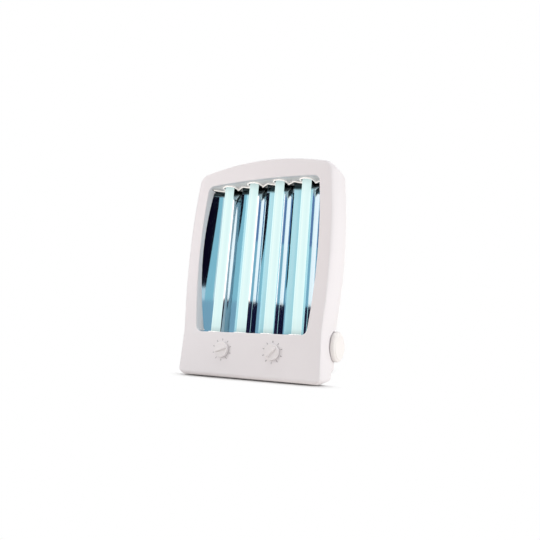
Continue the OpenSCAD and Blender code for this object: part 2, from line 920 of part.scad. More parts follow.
module cover_screws() {
    slot_w = head_d / 8;
    slot_len = head_d * 0.6;
    color(steel)
        leaning()
            for (p = screw_spots)
                difference() {
                    union() {
                        drill(p, screw_d, well_floor - screw_len, well_floor + past);
                        drill(p, head_d, well_floor, well_floor + head_t);
                    }
                    translate([p.x, well_floor + head_t, p.y])
                        cube([slot_w, head_t, slot_len], center = true);
                }
}

module front_feet() {
    inset = 3.5;
    foot_w = frame_depth - roll_base - 2 * inset;
    foot_u = base_hw - base_corner_r - inset - foot_len / 2;
    color(dark)
        both_sides()
            translate([foot_u, row_y + roll_base + inset + foot_w / 2, 0])
                linear_extrude(foot_t)
                    stadium(foot_len, foot_w);
}

// Stand: drawn folded up along the back with the pivot at the origin, then swung open

module swung() {
    translate([0, row_y + pivot_y, pivot_z])
        rotate([-leg_turn, 0, 0])
            children();
}
// Straight bar between two circles of a plane outline, its edges tucked just inside them
module link(p, rp, q, rq) {
    tuck = 0.2;
    gap = norm(q - p);
    turn = atan2(q.y - p.y, q.x - p.x);
    lean_in = asin((rp - rq) / gap);
    up = [cos(turn + 90 - lean_in), sin(turn + 90 - lean_in)];
    down = [cos(turn - 90 + lean_in), sin(turn - 90 + lean_in)];
    translate(p)
        circle(r = rp);
    translate(q)
        circle(r = rq);
    polygon([p + (rp - tuck) * up, p + (rp - tuck) * down, q + (rq - tuck) * down, q + (rq - tuck) * up]);
}
nut_t = 5;
nut_r = stud_d * 0.95;
module stand_leg() {
    bar_r = bar_d / 2;
    elbow = [leg_offset, eye_r / 2];
    foot = [leg_offset, leg_len];
    color(white)
        swung()
            difference() {
                union() {
                    both_sides()
                        translate([arm_in, 0, 0])
                            rotate([90, 0, 90])
                                linear_extrude(arm_t)
                                    union() {
                                        link([0, 0], eye_r, elbow, bar_r);
                                        link(elbow, bar_r, foot, bar_r);
                                    }
                    across(leg_len, leg_offset, bar_d, -arm_in - past, arm_in + past);
                }
                both_sides() {
                    across(0, 0, stud_d + 2 * run_gap, arm_in - past, arm_out + past);
                    translate([arm_in - past, 0, 0])
                        rotate([0, 90, 0])
                            cylinder(r = nut_r + seat_gap, h = nut_t + past, $fn = 6);
                }
            }
}
module foot_sleeves() {
    sleeve_u = arm_in - part_gap - sleeve_len;
    color(dark)
        swung()
            both_sides()
                difference() {
                    across(leg_len, leg_offset, 2 * sleeve_r, sleeve_u, sleeve_u + sleeve_len);
                    across(leg_len, leg_offset, bar_d + 2 * seat_gap, sleeve_u - past,
                           sleeve_u + sleeve_len + past);
                }
}
module arm_nuts() {
    color(steel)
        swung()
            both_sides()
                difference() {
                    translate([arm_in, 0, 0])
                        rotate([0, 90, 0])
                            cylinder(r = nut_r, h = nut_t - seat_gap, $fn = 6);
                    across(0, 0, stud_d + 2 * run_gap, arm_in - past, arm_in + nut_t + past);
                }
}
module friction_washers() {
    color(dark)
        swung()
            both_sides()
                difference() {
                    across(0, 0, 2 * eye_r - joint_gap, arm_out + seat_gap, pocket_out - seat_gap);
                    across(0, 0, stud_d + 2 * run_gap, arm_out - past, pocket_out + past);
                }
}

// Clamp knobs: tapered discs with a grooved rim on studs along the pivot axis

module on_pivot() {
    translate([0, row_y + pivot_y, pivot_z])
        children();
}
module clamp_knob() {
    r = clamp_d / 2;
    rim_t = clamp_t * 0.45;
    edge_r = 1.2;
    chamfer = 1;
    groove_d = 2;
    groove_out = 0.35;
    top_r = r - clamp_taper;
    turn = [for (t = [0 : 15 : 90]) [top_r - edge_r * (1 - cos(t)), clamp_t - edge_r * (1 - sin(t))]];
    rim = [[0, 0], [r - chamfer, 0], [r, chamfer], [r, rim_t]];
    translate([seat_x + seat_gap, 0, 0])
        rotate([0, 90, 0])
            difference() {
                rotate_extrude()
                    polygon(concat(rim, turn, [[0, clamp_t]]));
                for (i = [0 : groove_count - 1])
                    rotate(i * 360 / groove_count)
                        translate([r + groove_out, 0, -past])
                            cylinder(d = groove_d, h = rim_t + 2 * past);
                translate([0, 0, -past])
                    cylinder(d = stud_d + 2 * seat_gap, h = clamp_t - wall + past);
            }
}
module clamp_stud() {
    across(0, 0, stud_d, arm_in + joint_gap / 2, seat_x + clamp_t - wall);
}
module right_clamp_knob() {
    color(white)
        on_pivot()
            clamp_knob();
}
module right_clamp_stud() {
    color(steel)
        on_pivot()
            clamp_stud();
}
module left_clamp_knob() {
    color(white)
        on_pivot()
            mirror([1, 0, 0])
                clamp_knob();
}
module left_clamp_stud() {
    color(steel)
        on_pivot()
            mirror([1, 0, 0])
                clamp_stud();
}

front_frame();
rear_cover();
reflector();
uv_tube_1();
uv_tube_2();
uv_tube_3();
uv_tube_4();
tube_caps();
tube_pins();
upper_end_wall();
lower_end_wall();
upper_lampholders();
lower_lampholders();
upper_bracket();
lower_bracket();
choke_cores();
choke_windings();
starters();
starter_sockets();
terminal_block();
timer_movement();
selector_switch();
bracket_screws();
cover_screws();
front_feet();
cord_gland();
dial_marks();
timer_knob();
timer_shaft();
selector_knob();
selector_shaft();
stand_leg();
foot_sleeves();
arm_nuts();
friction_washers();
right_clamp_knob();
right_clamp_stud();
left_clamp_knob();
left_clamp_stud();
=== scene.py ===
import json
import math

import bmesh
import bpy
import numpy as np
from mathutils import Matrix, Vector
from mathutils.geometry import delaunay_2d_cdt


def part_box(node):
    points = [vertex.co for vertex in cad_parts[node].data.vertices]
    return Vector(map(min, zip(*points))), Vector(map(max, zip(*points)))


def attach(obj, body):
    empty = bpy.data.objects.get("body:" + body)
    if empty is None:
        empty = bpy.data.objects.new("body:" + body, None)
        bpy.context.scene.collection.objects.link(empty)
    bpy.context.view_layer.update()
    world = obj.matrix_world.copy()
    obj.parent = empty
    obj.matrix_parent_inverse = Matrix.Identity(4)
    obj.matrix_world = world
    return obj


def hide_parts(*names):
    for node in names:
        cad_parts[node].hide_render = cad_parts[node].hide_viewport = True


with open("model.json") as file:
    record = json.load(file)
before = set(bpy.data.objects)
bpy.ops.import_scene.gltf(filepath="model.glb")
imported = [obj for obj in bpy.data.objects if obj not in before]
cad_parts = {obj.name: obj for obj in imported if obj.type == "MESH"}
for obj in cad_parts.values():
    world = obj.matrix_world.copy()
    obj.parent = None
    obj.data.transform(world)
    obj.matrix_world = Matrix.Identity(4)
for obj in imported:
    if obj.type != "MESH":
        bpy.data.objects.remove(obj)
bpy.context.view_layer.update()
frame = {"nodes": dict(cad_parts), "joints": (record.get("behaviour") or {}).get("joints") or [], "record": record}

bl_info = {
    "name": "Tanning lamp",
    "version": (1, 0, 0),
    "blender": (4, 5, 0),
    "location": "3D View > Sidebar > Tanning lamp",
    "description": "Finished surfaces and materials of a table-top tanning lamp",
    "category": "Object",
}

JOINTS = {joint["name"]: joint for joint in frame["joints"]}
PIVOT = JOINTS["stand_tilt"]["pos_m"]


# Sizes and colours that a user would change

def length(label, text, mm):
    """A length property, given in millimetres."""
    return bpy.props.FloatProperty(name=label, description=text, default=mm / 1000, min=0,
                                   precision=5, subtype="DISTANCE", unit="LENGTH")


def turn(label, text, degrees):
    """An angle property, given in degrees."""
    return bpy.props.FloatProperty(name=label, description=text, default=math.radians(degrees),
                                   subtype="ANGLE", unit="ROTATION")


def colour(label, text, rgb):
    """A colour property in linear light."""
    return bpy.props.FloatVectorProperty(name=label, description=text, default=rgb, size=3,
                                         min=0, max=1, subtype="COLOR")


class LampHousingSizes(bpy.types.PropertyGroup):
    """Sizes of the moulded housing and its window."""
    lean: turn("Lean", "Angle by which the housing leans back", 10)
    foot_t: length("Feet", "Thickness of the rubber feet", 1.5)
    foot_len: length("Foot length", "Length of a rubber foot", 46)
    panel_h: length("Panel height", "Height of the control panel below the window", 76)
    window_h: length("Window height", "Height of the window", 268)
    top_band: length("Top band", "Height of the band above the window", 38)
    side_band: length("Side band", "Width of the band beside the window", 27)
    window_hw: length("Window half width", "Half width of the window at the belly", 113.9)
    belly_up: length("Belly height", "Height of the widest place above the window's foot", 152)
    side_arc: length("Side arc", "Radius of the barrelled sides", 1065)
    top_arc: length("Top arc", "Radius of the arched top", 460)
    window_arc: length("Window arc", "Radius of the window's arched top edge", 1350)
    base_tuck: length("Base tuck", "How much narrower the foot is than the belly", 7)
    base_flare: length("Base flare", "How far the panel draws in up to the window", 2.4)
    waist_soft: length("Waist softness", "Softness of the waist between panel and belly", 2)
    top_corner: length("Top corners", "Radius of the upper corners", 13)
    base_corner: length("Base corners", "Radius of the lower corners", 12)
    window_corner: length("Window corners", "Radius of the window's corners", 9)
    wall: length("Wall", "Thickness of the moulded walls", 2.5)
    clear: length("Clearance", "Gap between the mouldings and the reflector", 0.3)
    frame_depth: length("Frame depth", "Depth of the front frame", 40)
    cover_back: length("Back", "Depth of the rear cover's rim behind the face", 60)
    cover_foot: length("Cover foot", "Height of the rear cover's lower edge", 20)
    cover_step: length("Cover step", "Step from the frame's side to the cover's side", 0.6)
    cover_round: length("Cover edge", "Radius of the rear cover's edge", 7)
    panel_lap: length("Panel lap", "Width of the rim round the sunk back panel", 1.5)
    panel_sunk: length("Panel sink", "How far the back panel is sunk", 0.5)
    edge_belly: length("Edge at belly", "Width of the rolled edge at the belly", 7)
    edge_panel: length("Edge at panel", "Width of the rolled edge beside the panel", 3.5)
    edge_top: length("Edge at top", "Width of the rolled edge along the top", 5)
    edge_base: length("Edge at base", "Width of the rolled edge along the bottom", 9)
    roll_side: length("Side roll", "Depth over which the side edge rolls", 22)
    roll_top: length("Top roll", "Depth over which the top edge rolls", 14)
    roll_base: length("Base roll", "Depth over which the bottom edge rolls", 13)
    lip: length("Window lip", "Radius of the window's front edge", 1.6)


class LampLightSizes(bpy.types.PropertyGroup):
    """Sizes of the tubes and the reflector."""
    tube_r: length("Tube radius", "Radius of a tube", 8)
    tube_pitch: length("Tube pitch", "Distance between neighbouring tubes", 51.6)
    tube_depth: length("Tube depth", "Depth of the tube axes behind the face", 21)
    focal: length("Focal length", "Focal length of each parabolic trough", 12.5)
    trough_depth: length("Trough depth", "Depth of the trough bottoms behind the face", 37)
    sheet_t: length("Sheet", "Thickness of the reflector sheet", 0.8)
    sheet_over: length("Sheet overlap", "How far the sheet runs past the window's ends", 3)
    sheet_side: length("Sheet side", "How far the sheet runs past the window's sides", 2)
    notch_r: length("Notch radius", "Radius of the end wall's notch round a tube", 10.5)
    end_wall_w: length("End wall front", "Depth at which the end walls start", 6)
    end_wall_t: length("End wall", "Thickness of the end walls", 2.2)


class LampControlSizes(bpy.types.PropertyGroup):
    """Sizes of the dials and their marks."""
    spacing: length("Dial spacing", "Distance between the dials", 94.6)
    height: length("Dial height", "Height of the dials up the face", 46.7)
    dial_r: length("Dial radius", "Radius of a dial knob", 13)
    dial_t: length("Dial thickness", "Thickness of a dial knob's disc", 4.5)
    dial_gap: length("Dial gap", "Gap between dial and panel", 0.5)
    bar_len: length("Grip length", "Length of the grip bar", 21)
    bar_w: length("Grip width", "Width of the grip bar", 5)
    bar_t: length("Grip height", "Height of the grip bar above the disc", 3)
    timer_turn: turn("Timer bar", "Angle of the timer's grip bar", 19)
    selector_turn: turn("Selector bar", "Angle of the selector's grip bar", 46)
    marks: bpy.props.IntProperty(name="Marks", description="Number of marks round a dial", default=10, min=2)
    mark_len: length("Mark length", "Length of a mark", 3.4)
    mark_w: length("Mark width", "Width of a mark", 1.3)
    mark_t: length("Mark height", "Height of a raised mark", 0.5)
    mark_gap: length("Mark gap", "Gap between dial and marks", 2)


class LampStandSizes(bpy.types.PropertyGroup):
    """Sizes of the rear stand, its clamp knobs, the gland and the vents."""
    pivot_v: length("Pivot height", "Height of the pivot up the face", 64)
    pivot_w: length("Pivot depth", "Depth of the pivot behind the face", 52.6)
    arm_in: length("Arm inside", "Distance of an arm's inner side from the middle", 70)
    arm_t: length("Arm", "Thickness of an arm", 12)
    eye_r: length("Eye", "Radius of the arm's eye", 11)
    leg_len: length("Leg", "Distance from the pivot to the foot bar along the arm", 105)
    leg_offset: length("Offset", "Set-off of the arm from the pivot", 16.5)
    bar_r: length("Foot bar", "Radius of the foot bar", 6.5)
    sleeve_r: length("Sleeve", "Radius of a rubber sleeve", 8)
    sleeve_len: length("Sleeve length", "Length of a rubber sleeve", 30)
    part_gap: length("Part gap", "Gap between a sleeve and the arm", 3)
    boss_r: length("Boss", "Radius of the pad under a clamp knob", 6.5)
    pad_h: length("Pad", "Height of the pad under a clamp knob above the cover's side", 1.6)
    clamp_r: length("Clamp knob", "Radius of a clamp knob", 24.5)
    clamp_t: length("Clamp thickness", "Thickness of a clamp knob", 8.5)
    clamp_taper: length("Clamp taper", "How far a clamp knob tapers in", 3.5)
    grooves: bpy.props.IntProperty(name="Grooves", description="Grip grooves round a clamp knob",
                                   default=48, min=8)
    gland_r: length("Gland", "Radius of the gland's collar", 8)
    gland_in: length("Gland inside", "How far the gland reaches into the cover", 5.5)
    gland_out: length("Gland outside", "How far the gland stands out of the cover", 6)
    collar_t: length("Gland collar", "Thickness of the gland's collar", 2.5)
    lead_r: length("Lead", "Radius of the gland's bore", 3.5)
    joint_gap: length("Joint gap", "Room between the arms and the pockets", 1)
    pocket_rise: length("Pocket rise", "Height of the pockets above the cover's lower edge", 6.9)
    well_r: length("Screw well", "Radius of a screw well", 3.8)
    screw_out: length("Screw offset", "Distance of the side screws from the window's side", 7)
    screw_rise: length("Screw rise", "Height of the middle screws above the window's foot", 54)
    screw_fall: length("Screw fall", "Depth of the upper screws below the window's top", 44)
    low_screw_out: length("Low screw offset", "Distance of the low screws from the window's side", 4)
    low_screw_v: length("Low screw height", "Height of the low screws up the face", 48)
    screw_drop: length("Top screw", "Depth of the top screw below the top edge", 9.5)
    vent_w: length("Vent width", "Width of a vent slot", 4)
    vent_h: length("Vent height", "Height of a vent slot", 46)
    vent_pitch: length("Vent pitch", "Distance between vent slots", 16)
    vent_in: length("Vent rows", "Distance of the vent rows from the window's ends", 56)


class LampFinishes(bpy.types.PropertyGroup):
    """Colours of the finishes."""
    shell: colour("Shell", "Moulded housing", (0.79, 0.765, 0.785))
    cover: colour("Cover", "Rear cover", (0.79, 0.765, 0.78))
    # lighter than the shell: painted light standing in for the tubes' light, which the mouldings don't receive
    inside: colour("End walls", "End walls of the window", (0.97, 0.92, 0.90))
    dial: colour("Dials", "Dial knobs", (0.79, 0.765, 0.775))
    mark: colour("Marks", "Marks round the dials", (0.42, 0.41, 0.42))
    clamp: colour("Clamp knobs", "Clamp knobs", (0.84, 0.815, 0.80))
    stand: colour("Stand", "Rear stand", (0.76, 0.745, 0.74))
    mirror: colour("Mirror", "Polished reflector", (0.50, 0.71, 0.80))
    glow: colour("Glow", "Light of the tubes", (0.70, 0.90, 0.89))
    rubber: colour("Rubber", "Feet and sleeves", (0.03, 0.026, 0.024))


GROUPS = {
    "lamp_housing": LampHousingSizes,
    "lamp_light": LampLightSizes,
    "lamp_controls": LampControlSizes,
    "lamp_stand": LampStandSizes,
    "lamp_finishes": LampFinishes,
}


# Shader maths

class Tap:
    """A shader socket that can be used in sums: each operator adds one Math node."""

    def __init__(self, tree, socket):
        self.tree = tree
        self.socket = socket

    def node(self, kind, settings=None, out=0, **values):
        """Adds a node of any kind, sets its settings, then its sockets, and returns one of its outputs."""
        made = self.tree.nodes.new(kind)
        for key, value in (settings or {}).items():
            if key == "stops":
                ramp = made.color_ramp
                while len(ramp.elements) < len(value):
                    ramp.elements.new(0.5)
                for element, (place, rgb) in zip(ramp.elements, value):
                    element.position = place
                    element.color = (*rgb, 1)
            else:
                setattr(made, key, value)
        for key, value in values.items():
            name = key.replace("_", " ")
            target = made.inputs[int(key[1:])] if key[0] == "i" and key[1:].isdigit() else made.inputs[name]
            if isinstance(value, Tap):
                self.tree.links.new(value.socket, target)
            else:
                target.default_value = value
        return Tap(self.tree, made.outputs[out])

    def maths(self, operation, a, b=0.0):
        """One Math node on two values."""
        return self.node("ShaderNodeMath", {"operation": operation}, i0=a, i1=b)

    def __add__(self, other):
        return self.maths("ADD", self, other)

    def __mul__(self, other):
        return self.maths("MULTIPLY", self, other)

    __radd__, __rmul__ = __add__, __mul__

    def noise(self, scale, detail=3.0, stretch=(1, 1, 1)):
        """Noise over the piece's own coordinates, drawn out along an axis by stretch."""
        where = self.node("ShaderNodeMapping", i0=self, Scale=tuple(scale * s for s in stretch))
        return self.node("ShaderNodeTexNoise", {"noise_dimensions": "3D"}, Vector=where, Scale=1.0,
                         Detail=detail, Roughness=0.55)

    def tint(self, dark, light):
        """A colour between dark and light, chosen by this value."""
        return self.node("ShaderNodeMix", {"data_type": "RGBA"}, out=2, i0=self,
                         i6=(*dark, 1), i7=(*light, 1))

    def bump(self, strength, distance):
        """A normal that takes this value as height."""
        return self.node("ShaderNodeBump", Height=self, Strength=strength, Distance=distance)


def shaded(rgb, share):
    """A colour times a share, kept within full light."""
    return tuple(min(1.0, c * share) for c in rgb)


def start_finish(name, **fixed):
    """A material with one Principled shader: its even values are set on the shader's own sockets."""
    made = bpy.data.materials.new(name)
    made.use_nodes = True
    tree = made.node_tree
    shader = next(n for n in tree.nodes if n.type == "BSDF_PRINCIPLED")
    for key, value in fixed.items():
        shader.inputs[key.replace("_", " ")].default_value = value
    coords = Tap(tree, tree.nodes.new("ShaderNodeTexCoord").outputs["Object"])

    def join(socket, tap):
        tree.links.new(tap.socket, shader.inputs[socket])
    return made, coords, join


def moulded(name, rgb, rough=0.42, grain=0.0009, depth=0.00002):
    """Moulded plastic: cloudy colour, a fine spark-eroded grain in the bump, and uneven gloss."""
    made, coords, join = start_finish(name, IOR=1.46)
    cloud = coords.noise(14.0, 4.0)
    grit = coords.noise(1 / grain, 2.0)
    join("Base Color", (cloud * 0.7 + grit * 0.3).tint(shaded(rgb, 0.955), shaded(rgb, 1.045)))
    join("Roughness", cloud * 0.10 + grit * 0.08 + (rough - 0.09))
    join("Normal", grit.bump(0.35, depth))
    return made


def painted_rim_glow(name, rgb):
    """Moulded end wall with a painted glow: on the thin rim, marked by the piece's rim attribute, a lighter colour
    and an emission stand in for the tubes' light on it.
    """
    made, coords, join = start_finish(name, IOR=1.46, Emission_Strength=1.0)
    rim = coords.node("ShaderNodeAttribute", {"attribute_name": "rim"}, out=2)
    cloud = coords.noise(14.0, 4.0)
    grit = coords.noise(1100.0, 2.0)
    # painted highlight: the rim attribute lightens the colour on the bead
    join("Base Color", (cloud * 0.6 + grit * 0.2 + rim * 0.2).tint(shaded(rgb, 0.94), shaded(rgb, 1.06)))
    join("Roughness", cloud * 0.10 + grit * 0.08 + 0.4)
    # painted glow: the rim emits a pale light in place of the tubes' light
    join("Emission Color", (rim * (grit * 0.2 + 0.9)).tint((0, 0, 0), (0.34, 0.32, 0.30)))
    return made


def polished_sheet_painted_shade(name, rgb, top):
    """Polished reflector sheet: faint rolling streaks, a few soft smears and a painted shade at the upper end,
    where the end wall shades it.
    """
    made, coords, join = start_finish(name, Metallic=1.0)
    streak = coords.noise(900.0, 2.0, (1, 0.05, 0.02))
    smear = coords.noise(22.0, 3.0)
    height = coords.node("ShaderNodeSeparateXYZ", out=2, Vector=coords)
    # painted shade: the colour falls almost to black over the last few millimetres below the top
    end = coords.node("ShaderNodeMapRange", {"clamp": True}, Value=height + smear * 0.004,
                      From_Min=top - 0.017, From_Max=top - 0.013, To_Min=1.0, To_Max=0.04)
    join("Base Color", ((streak * 0.08 + smear * 0.08 + 0.9) * end).tint(shaded(rgb, 0.02), rgb))
    join("Roughness", smear * 0.04 + streak * 0.02 + 0.02)
    join("Normal", streak.bump(0.008, 0.00002))
    return made


def lit_tube(name, rgb, low, high):
    """Lit coated glass: the light is even along the tube and dims towards both ends."""
    made, coords, join = start_finish(name, Roughness=0.25, Emission_Strength=1.0)
    height = coords.node("ShaderNodeSeparateXYZ", out=2, Vector=coords)
    along = coords.node("ShaderNodeMapRange", {"clamp": True}, Value=height, From_Min=low, From_Max=high)
    ends = [(0.0, shaded(rgb, 0.55)), (0.05, shaded(rgb, 0.93)), (0.12, rgb),
            (0.88, rgb), (0.95, shaded(rgb, 0.95)), (1.0, shaded(rgb, 0.7))]
    powder = coords.noise(600.0, 2.0)
    join("Base Color", powder.tint((0.015, 0.02, 0.02), (0.03, 0.035, 0.035)))
    join("Emission Color", coords.node("ShaderNodeValToRGB", {"stops": ends}, Fac=along))
    return made


def bare_metal(name, rgb, rough=0.3, stretch=(1, 1, 1), scale=700.0):
    """Bare metal with fine drawing lines and uneven polish."""
    made, coords, join = start_finish(name, Metallic=1.0)
    lines = coords.noise(scale, 3.0, stretch)
    stain = coords.noise(60.0, 3.0)
    join("Base Color", (lines * 0.5 + stain * 0.5).tint(shaded(rgb, 0.82), shaded(rgb, 1.12)))
    join("Roughness", lines * 0.2 + stain * 0.1 + (rough - 0.15))
    join("Normal", lines.bump(0.2, 0.00003))
    return made


def soft_rubber(name, rgb):
    """Matt rubber with a dusty bloom."""
    made, coords, join = start_finish(name)
    dust = coords.noise(90.0, 4.0)
    grit = coords.noise(1800.0, 2.0)
    join("Base Color", (dust * 0.6 + grit * 0.4).tint(shaded(rgb, 0.6), shaded(rgb, 1.9)))
    join("Roughness", dust * 0.15 + 0.72)
    join("Normal", grit.bump(0.4, 0.00003))
    return made


def stacked_plates(name, rgb):
    """Stacked iron plates of a choke: fine dark lines across, with a coat of varnish."""
    made, coords, join = start_finish(name, Metallic=0.6, Coat_Weight=0.3)
    lines = coords.node("ShaderNodeTexWave", {"bands_direction": "X"}, Vector=coords, Scale=160.0,
                        Distortion=0.4, Detail=2.0, out=1)
    rust = coords.noise(80.0, 4.0)
    join("Base Color", (lines * 0.6 + rust * 0.4).tint(shaded(rgb, 0.5), shaded(rgb, 1.3)))
    join("Roughness", rust * 0.3 + 0.35)
    join("Normal", lines.bump(0.4, 0.0001))
    return made


def wound_wire(name, rgb):
    """Turns of enamelled wire: fine ridges across the coil."""
    made, coords, join = start_finish(name, Metallic=0.9)
    turns = coords.node("ShaderNodeTexWave", {"bands_direction": "Z"}, Vector=coords, Scale=320.0, out=1)
    age = coords.noise(120.0, 3.0)
    join("Base Color", (turns * 0.6 + age * 0.4).tint(shaded(rgb, 0.5), shaded(rgb, 1.25)))
    join("Roughness", age * 0.2 + 0.25)
    join("Normal", turns.bump(0.5, 0.0002))
    return made


# Meshes from arrays

FINISH = {}
SAME_POINT, NO_LENGTH = 2e-6, 1e-7
FIT = 0.00005  # hair gap between pieces that touch


def closed_mesh(name, parts):
    """One mesh from parts of (points, faces): joins them, merges their seams and turns the faces outwards."""
    points = np.concatenate([np.asarray(p, float).reshape(-1, 3) for p, _ in parts])
    starts = np.cumsum([0] + [np.asarray(p).reshape(-1, 3).shape[0] for p, _ in parts])
    faces = [face for (_, quads), start in zip(parts, starts)
             for face in (np.asarray(quads) + start).tolist()]
    mesh = bpy.data.meshes.new(name)
    mesh.from_pydata(points.tolist(), [], faces)
    work = bmesh.new()
    work.from_mesh(mesh)
    bmesh.ops.remove_doubles(work, verts=work.verts, dist=SAME_POINT)
    bmesh.ops.dissolve_degenerate(work, edges=work.edges, dist=NO_LENGTH)
    bmesh.ops.recalc_face_normals(work, faces=work.faces)
    work.to_mesh(mesh)
    work.free()
    return mesh


def carved(skin, added, cut):
    """A closed skin with closed shapes joined to it and others cut out, by exact booleans."""
    tools = [bpy.data.objects.new("tool", closed_mesh("tool", parts)) for parts in (skin, *added, cut)]
    for tool in tools:
        bpy.context.scene.collection.objects.link(tool)
    body = tools[0]
    for tool, way in zip(tools[1:], ["UNION"] * len(added) + ["DIFFERENCE"]):
        step = body.modifiers.new(way, "BOOLEAN")
        step.operation = way
        step.solver = "EXACT"
        step.object = tool
    mesh = bpy.data.meshes.new_from_object(body.evaluated_get(bpy.context.evaluated_depsgraph_get()))
    for tool in tools:
        bpy.data.meshes.remove(tool.data)
    return mesh


def as_piece(name, shape, body, slot, nodes, sharp=35, bevel=None):
    """One smooth object from a mesh or from parts, with its slot's finish, its body and its nodes."""
    mesh = closed_mesh(name, shape) if isinstance(shape, list) else shape
    mesh.name = name
    mesh.shade_smooth()
    mesh.set_sharp_from_angle(angle=math.radians(sharp))
    mesh.materials.clear()
    mesh.materials.append(FINISH[slot])
    piece = bpy.data.objects.new(name, mesh)
    bpy.context.scene.collection.objects.link(piece)
    if bevel:
        rounding = piece.modifiers.new("Soft edges", "BEVEL")
        rounding.width = bevel
        rounding.segments = 3
        rounding.limit_method = "ANGLE"
        rounding.angle_limit = math.radians(50)
    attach(piece, body)
    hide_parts(*nodes)
    return piece


def grid_faces(rows, columns, close_rows=False, close_columns=True):
    """Four-cornered faces of a rows by columns grid, closed round either way."""
    r = np.arange(rows if close_rows else rows - 1)
    c = np.arange(columns if close_columns else columns - 1)
    r, c = np.meshgrid(r, c, indexing="ij")
    r2, c2 = (r + 1) % rows, (c + 1) % columns
    corners = [r * columns + c, r * columns + c2, r2 * columns + c2, r2 * columns + c]
    return np.stack(corners, -1).reshape(-1, 4)


def loft(rings, closed):
    """Skin over rings of equal count: faces between each ring and the next."""
    stack = np.stack(rings)
    return stack.reshape(-1, 3), grid_faces(len(rings), stack.shape[1], closed)


def lid(ring):
    """A fan from the middle of a ring closes it."""
    count = len(ring)
    i = np.arange(count)
    return (np.concatenate([ring, ring.mean(0, keepdims=True)]),
            np.stack([i, (i + 1) % count, np.full(count, count)], -1))


def revolved(profile, to_world, count=96):
    """Surface of revolution: (radius, height) pairs carried round the axis, closed at the poles."""
    profile = np.asarray(profile, float)
    a = np.linspace(0, 2 * np.pi, count, endpoint=False)
    x = profile[:, :1] * np.cos(a)
    y = profile[:, :1] * np.sin(a)
    z = np.broadcast_to(profile[:, 1:], x.shape)
    return to_world(x, y, z).reshape(-1, 3), grid_faces(len(profile), count)


def arc(cx, cy, r, a0, a1, steps):
    """Points on a circle's arc between two angles in degrees."""
    a = np.radians(np.linspace(a0, a1, steps + 1))
    return np.stack([cx + r * np.cos(a), cy + r * np.sin(a)], -1)


def ring_line(x, y, r, steps):
    """Outline of a circle."""
    return arc(x, y, r, 0, 360, steps)[:-1]


def stadium(long, wide, steps=16):
    """Outline of a bar with round ends, along the first axis."""
    half = (long - wide) / 2
    return np.concatenate([arc(half, 0, wide / 2, -90, 90, steps), arc(-half, 0, wide / 2, 90, 270, steps)])


def rounded_box(wide, tall, r, steps=5):
    """Outline of a rectangle with rounded corners."""
    x, y = wide / 2 - r, tall / 2 - r
    return np.concatenate([arc(x, -y, r, -90, 0, steps), arc(x, y, r, 0, 90, steps),
                           arc(-x, y, r, 90, 180, steps), arc(-x, -y, r, 180, 270, steps)])


def normals(step):
    """Unit normals to the left of the steps along a line."""
    return np.stack([-step[:, 1], step[:, 0]], -1) / np.linalg.norm(step, axis=1, keepdims=True)


def inward(line):
    """Normals of a closed outline, towards its inside."""
    return normals(np.roll(line, -1, 0) - np.roll(line, 1, 0))


def inset(line, depth):
    """A closed outline drawn in along its normals."""
    return line + depth * inward(line)


def spun(line, angle):
    """A flat outline turned to the left by an angle."""
    return line @ np.array([[math.cos(angle), math.sin(angle)], [-math.sin(angle), math.cos(angle)]])


def pillow(line, low, high, edge, to_world, draft=0.0, steps=6):
    """A plate over an outline: straight or drafted sides and a rounded top edge, closed above and below."""
    t = np.radians(np.linspace(0, 90, steps + 1))
    rings = [(0.0, low)] + [(draft + edge * (1 - math.cos(a)), high - edge * (1 - math.sin(a))) for a in t]
    stack = [np.concatenate([inset(line, d), np.full((len(line), 1), h)], 1) for d, h in rings]
    world = [to_world(s[:, 0], s[:, 1], s[:, 2]) for s in stack]
    return [loft(world, False), lid(world[0]), lid(world[-1])]


def within(points, loop):
    """Which points lie inside a closed outline: a ray to the right crosses it an odd number of times."""
    start, end = loop, np.roll(loop, -1, 0)
    level = points[:, 1:2]
    crossed = (start[:, 1] > level) != (end[:, 1] > level)
    rise = np.where(start[:, 1] == end[:, 1], 1, end[:, 1] - start[:, 1])
    place = start[:, 0] + (level - start[:, 1]) * (end[:, 0] - start[:, 0]) / rise
    return (crossed & (points[:, :1] < place)).sum(1) % 2 == 1


def union_net(loops):
    """Triangles over the union of plane outlines, from a constrained Delaunay net: points and faces."""
    points = np.concatenate(loops)
    starts = np.cumsum([0] + [len(loop) for loop in loops])
    edges = [(s + i, s + (i + 1) % len(loop)) for s, loop in zip(starts, loops) for i in range(len(loop))]
    net = delaunay_2d_cdt([Vector(p) for p in points.tolist()], edges, [], 0, NO_LENGTH, False)
    found, faces = np.array([tuple(p) for p in net[0]]), np.array(net[2])
    middles = found[faces].mean(1)
    return found, faces[np.any([within(middles, loop) for loop in loops], axis=0)]


def prism(line, heights, to_world, flare=0.0, past=0.004):
    """A closed bar over an outline between two heights and a little past the far one, where it may flare."""
    low, high = heights
    rings = [(0.0, low)] + [(-flare * (1 - math.cos(a)), high - flare * (1 - math.sin(a)))
                            for a in np.radians(np.linspace(0, 90, 5)) if flare] + [(-flare, high + past)]
    stack = [inset(line, d) for d, _ in rings]
    world = [to_world(ring[:, 0], ring[:, 1], h) for ring, (_, h) in zip(stack, rings)]
    return [loft(world, False), lid(world[0]), lid(world[-1])]


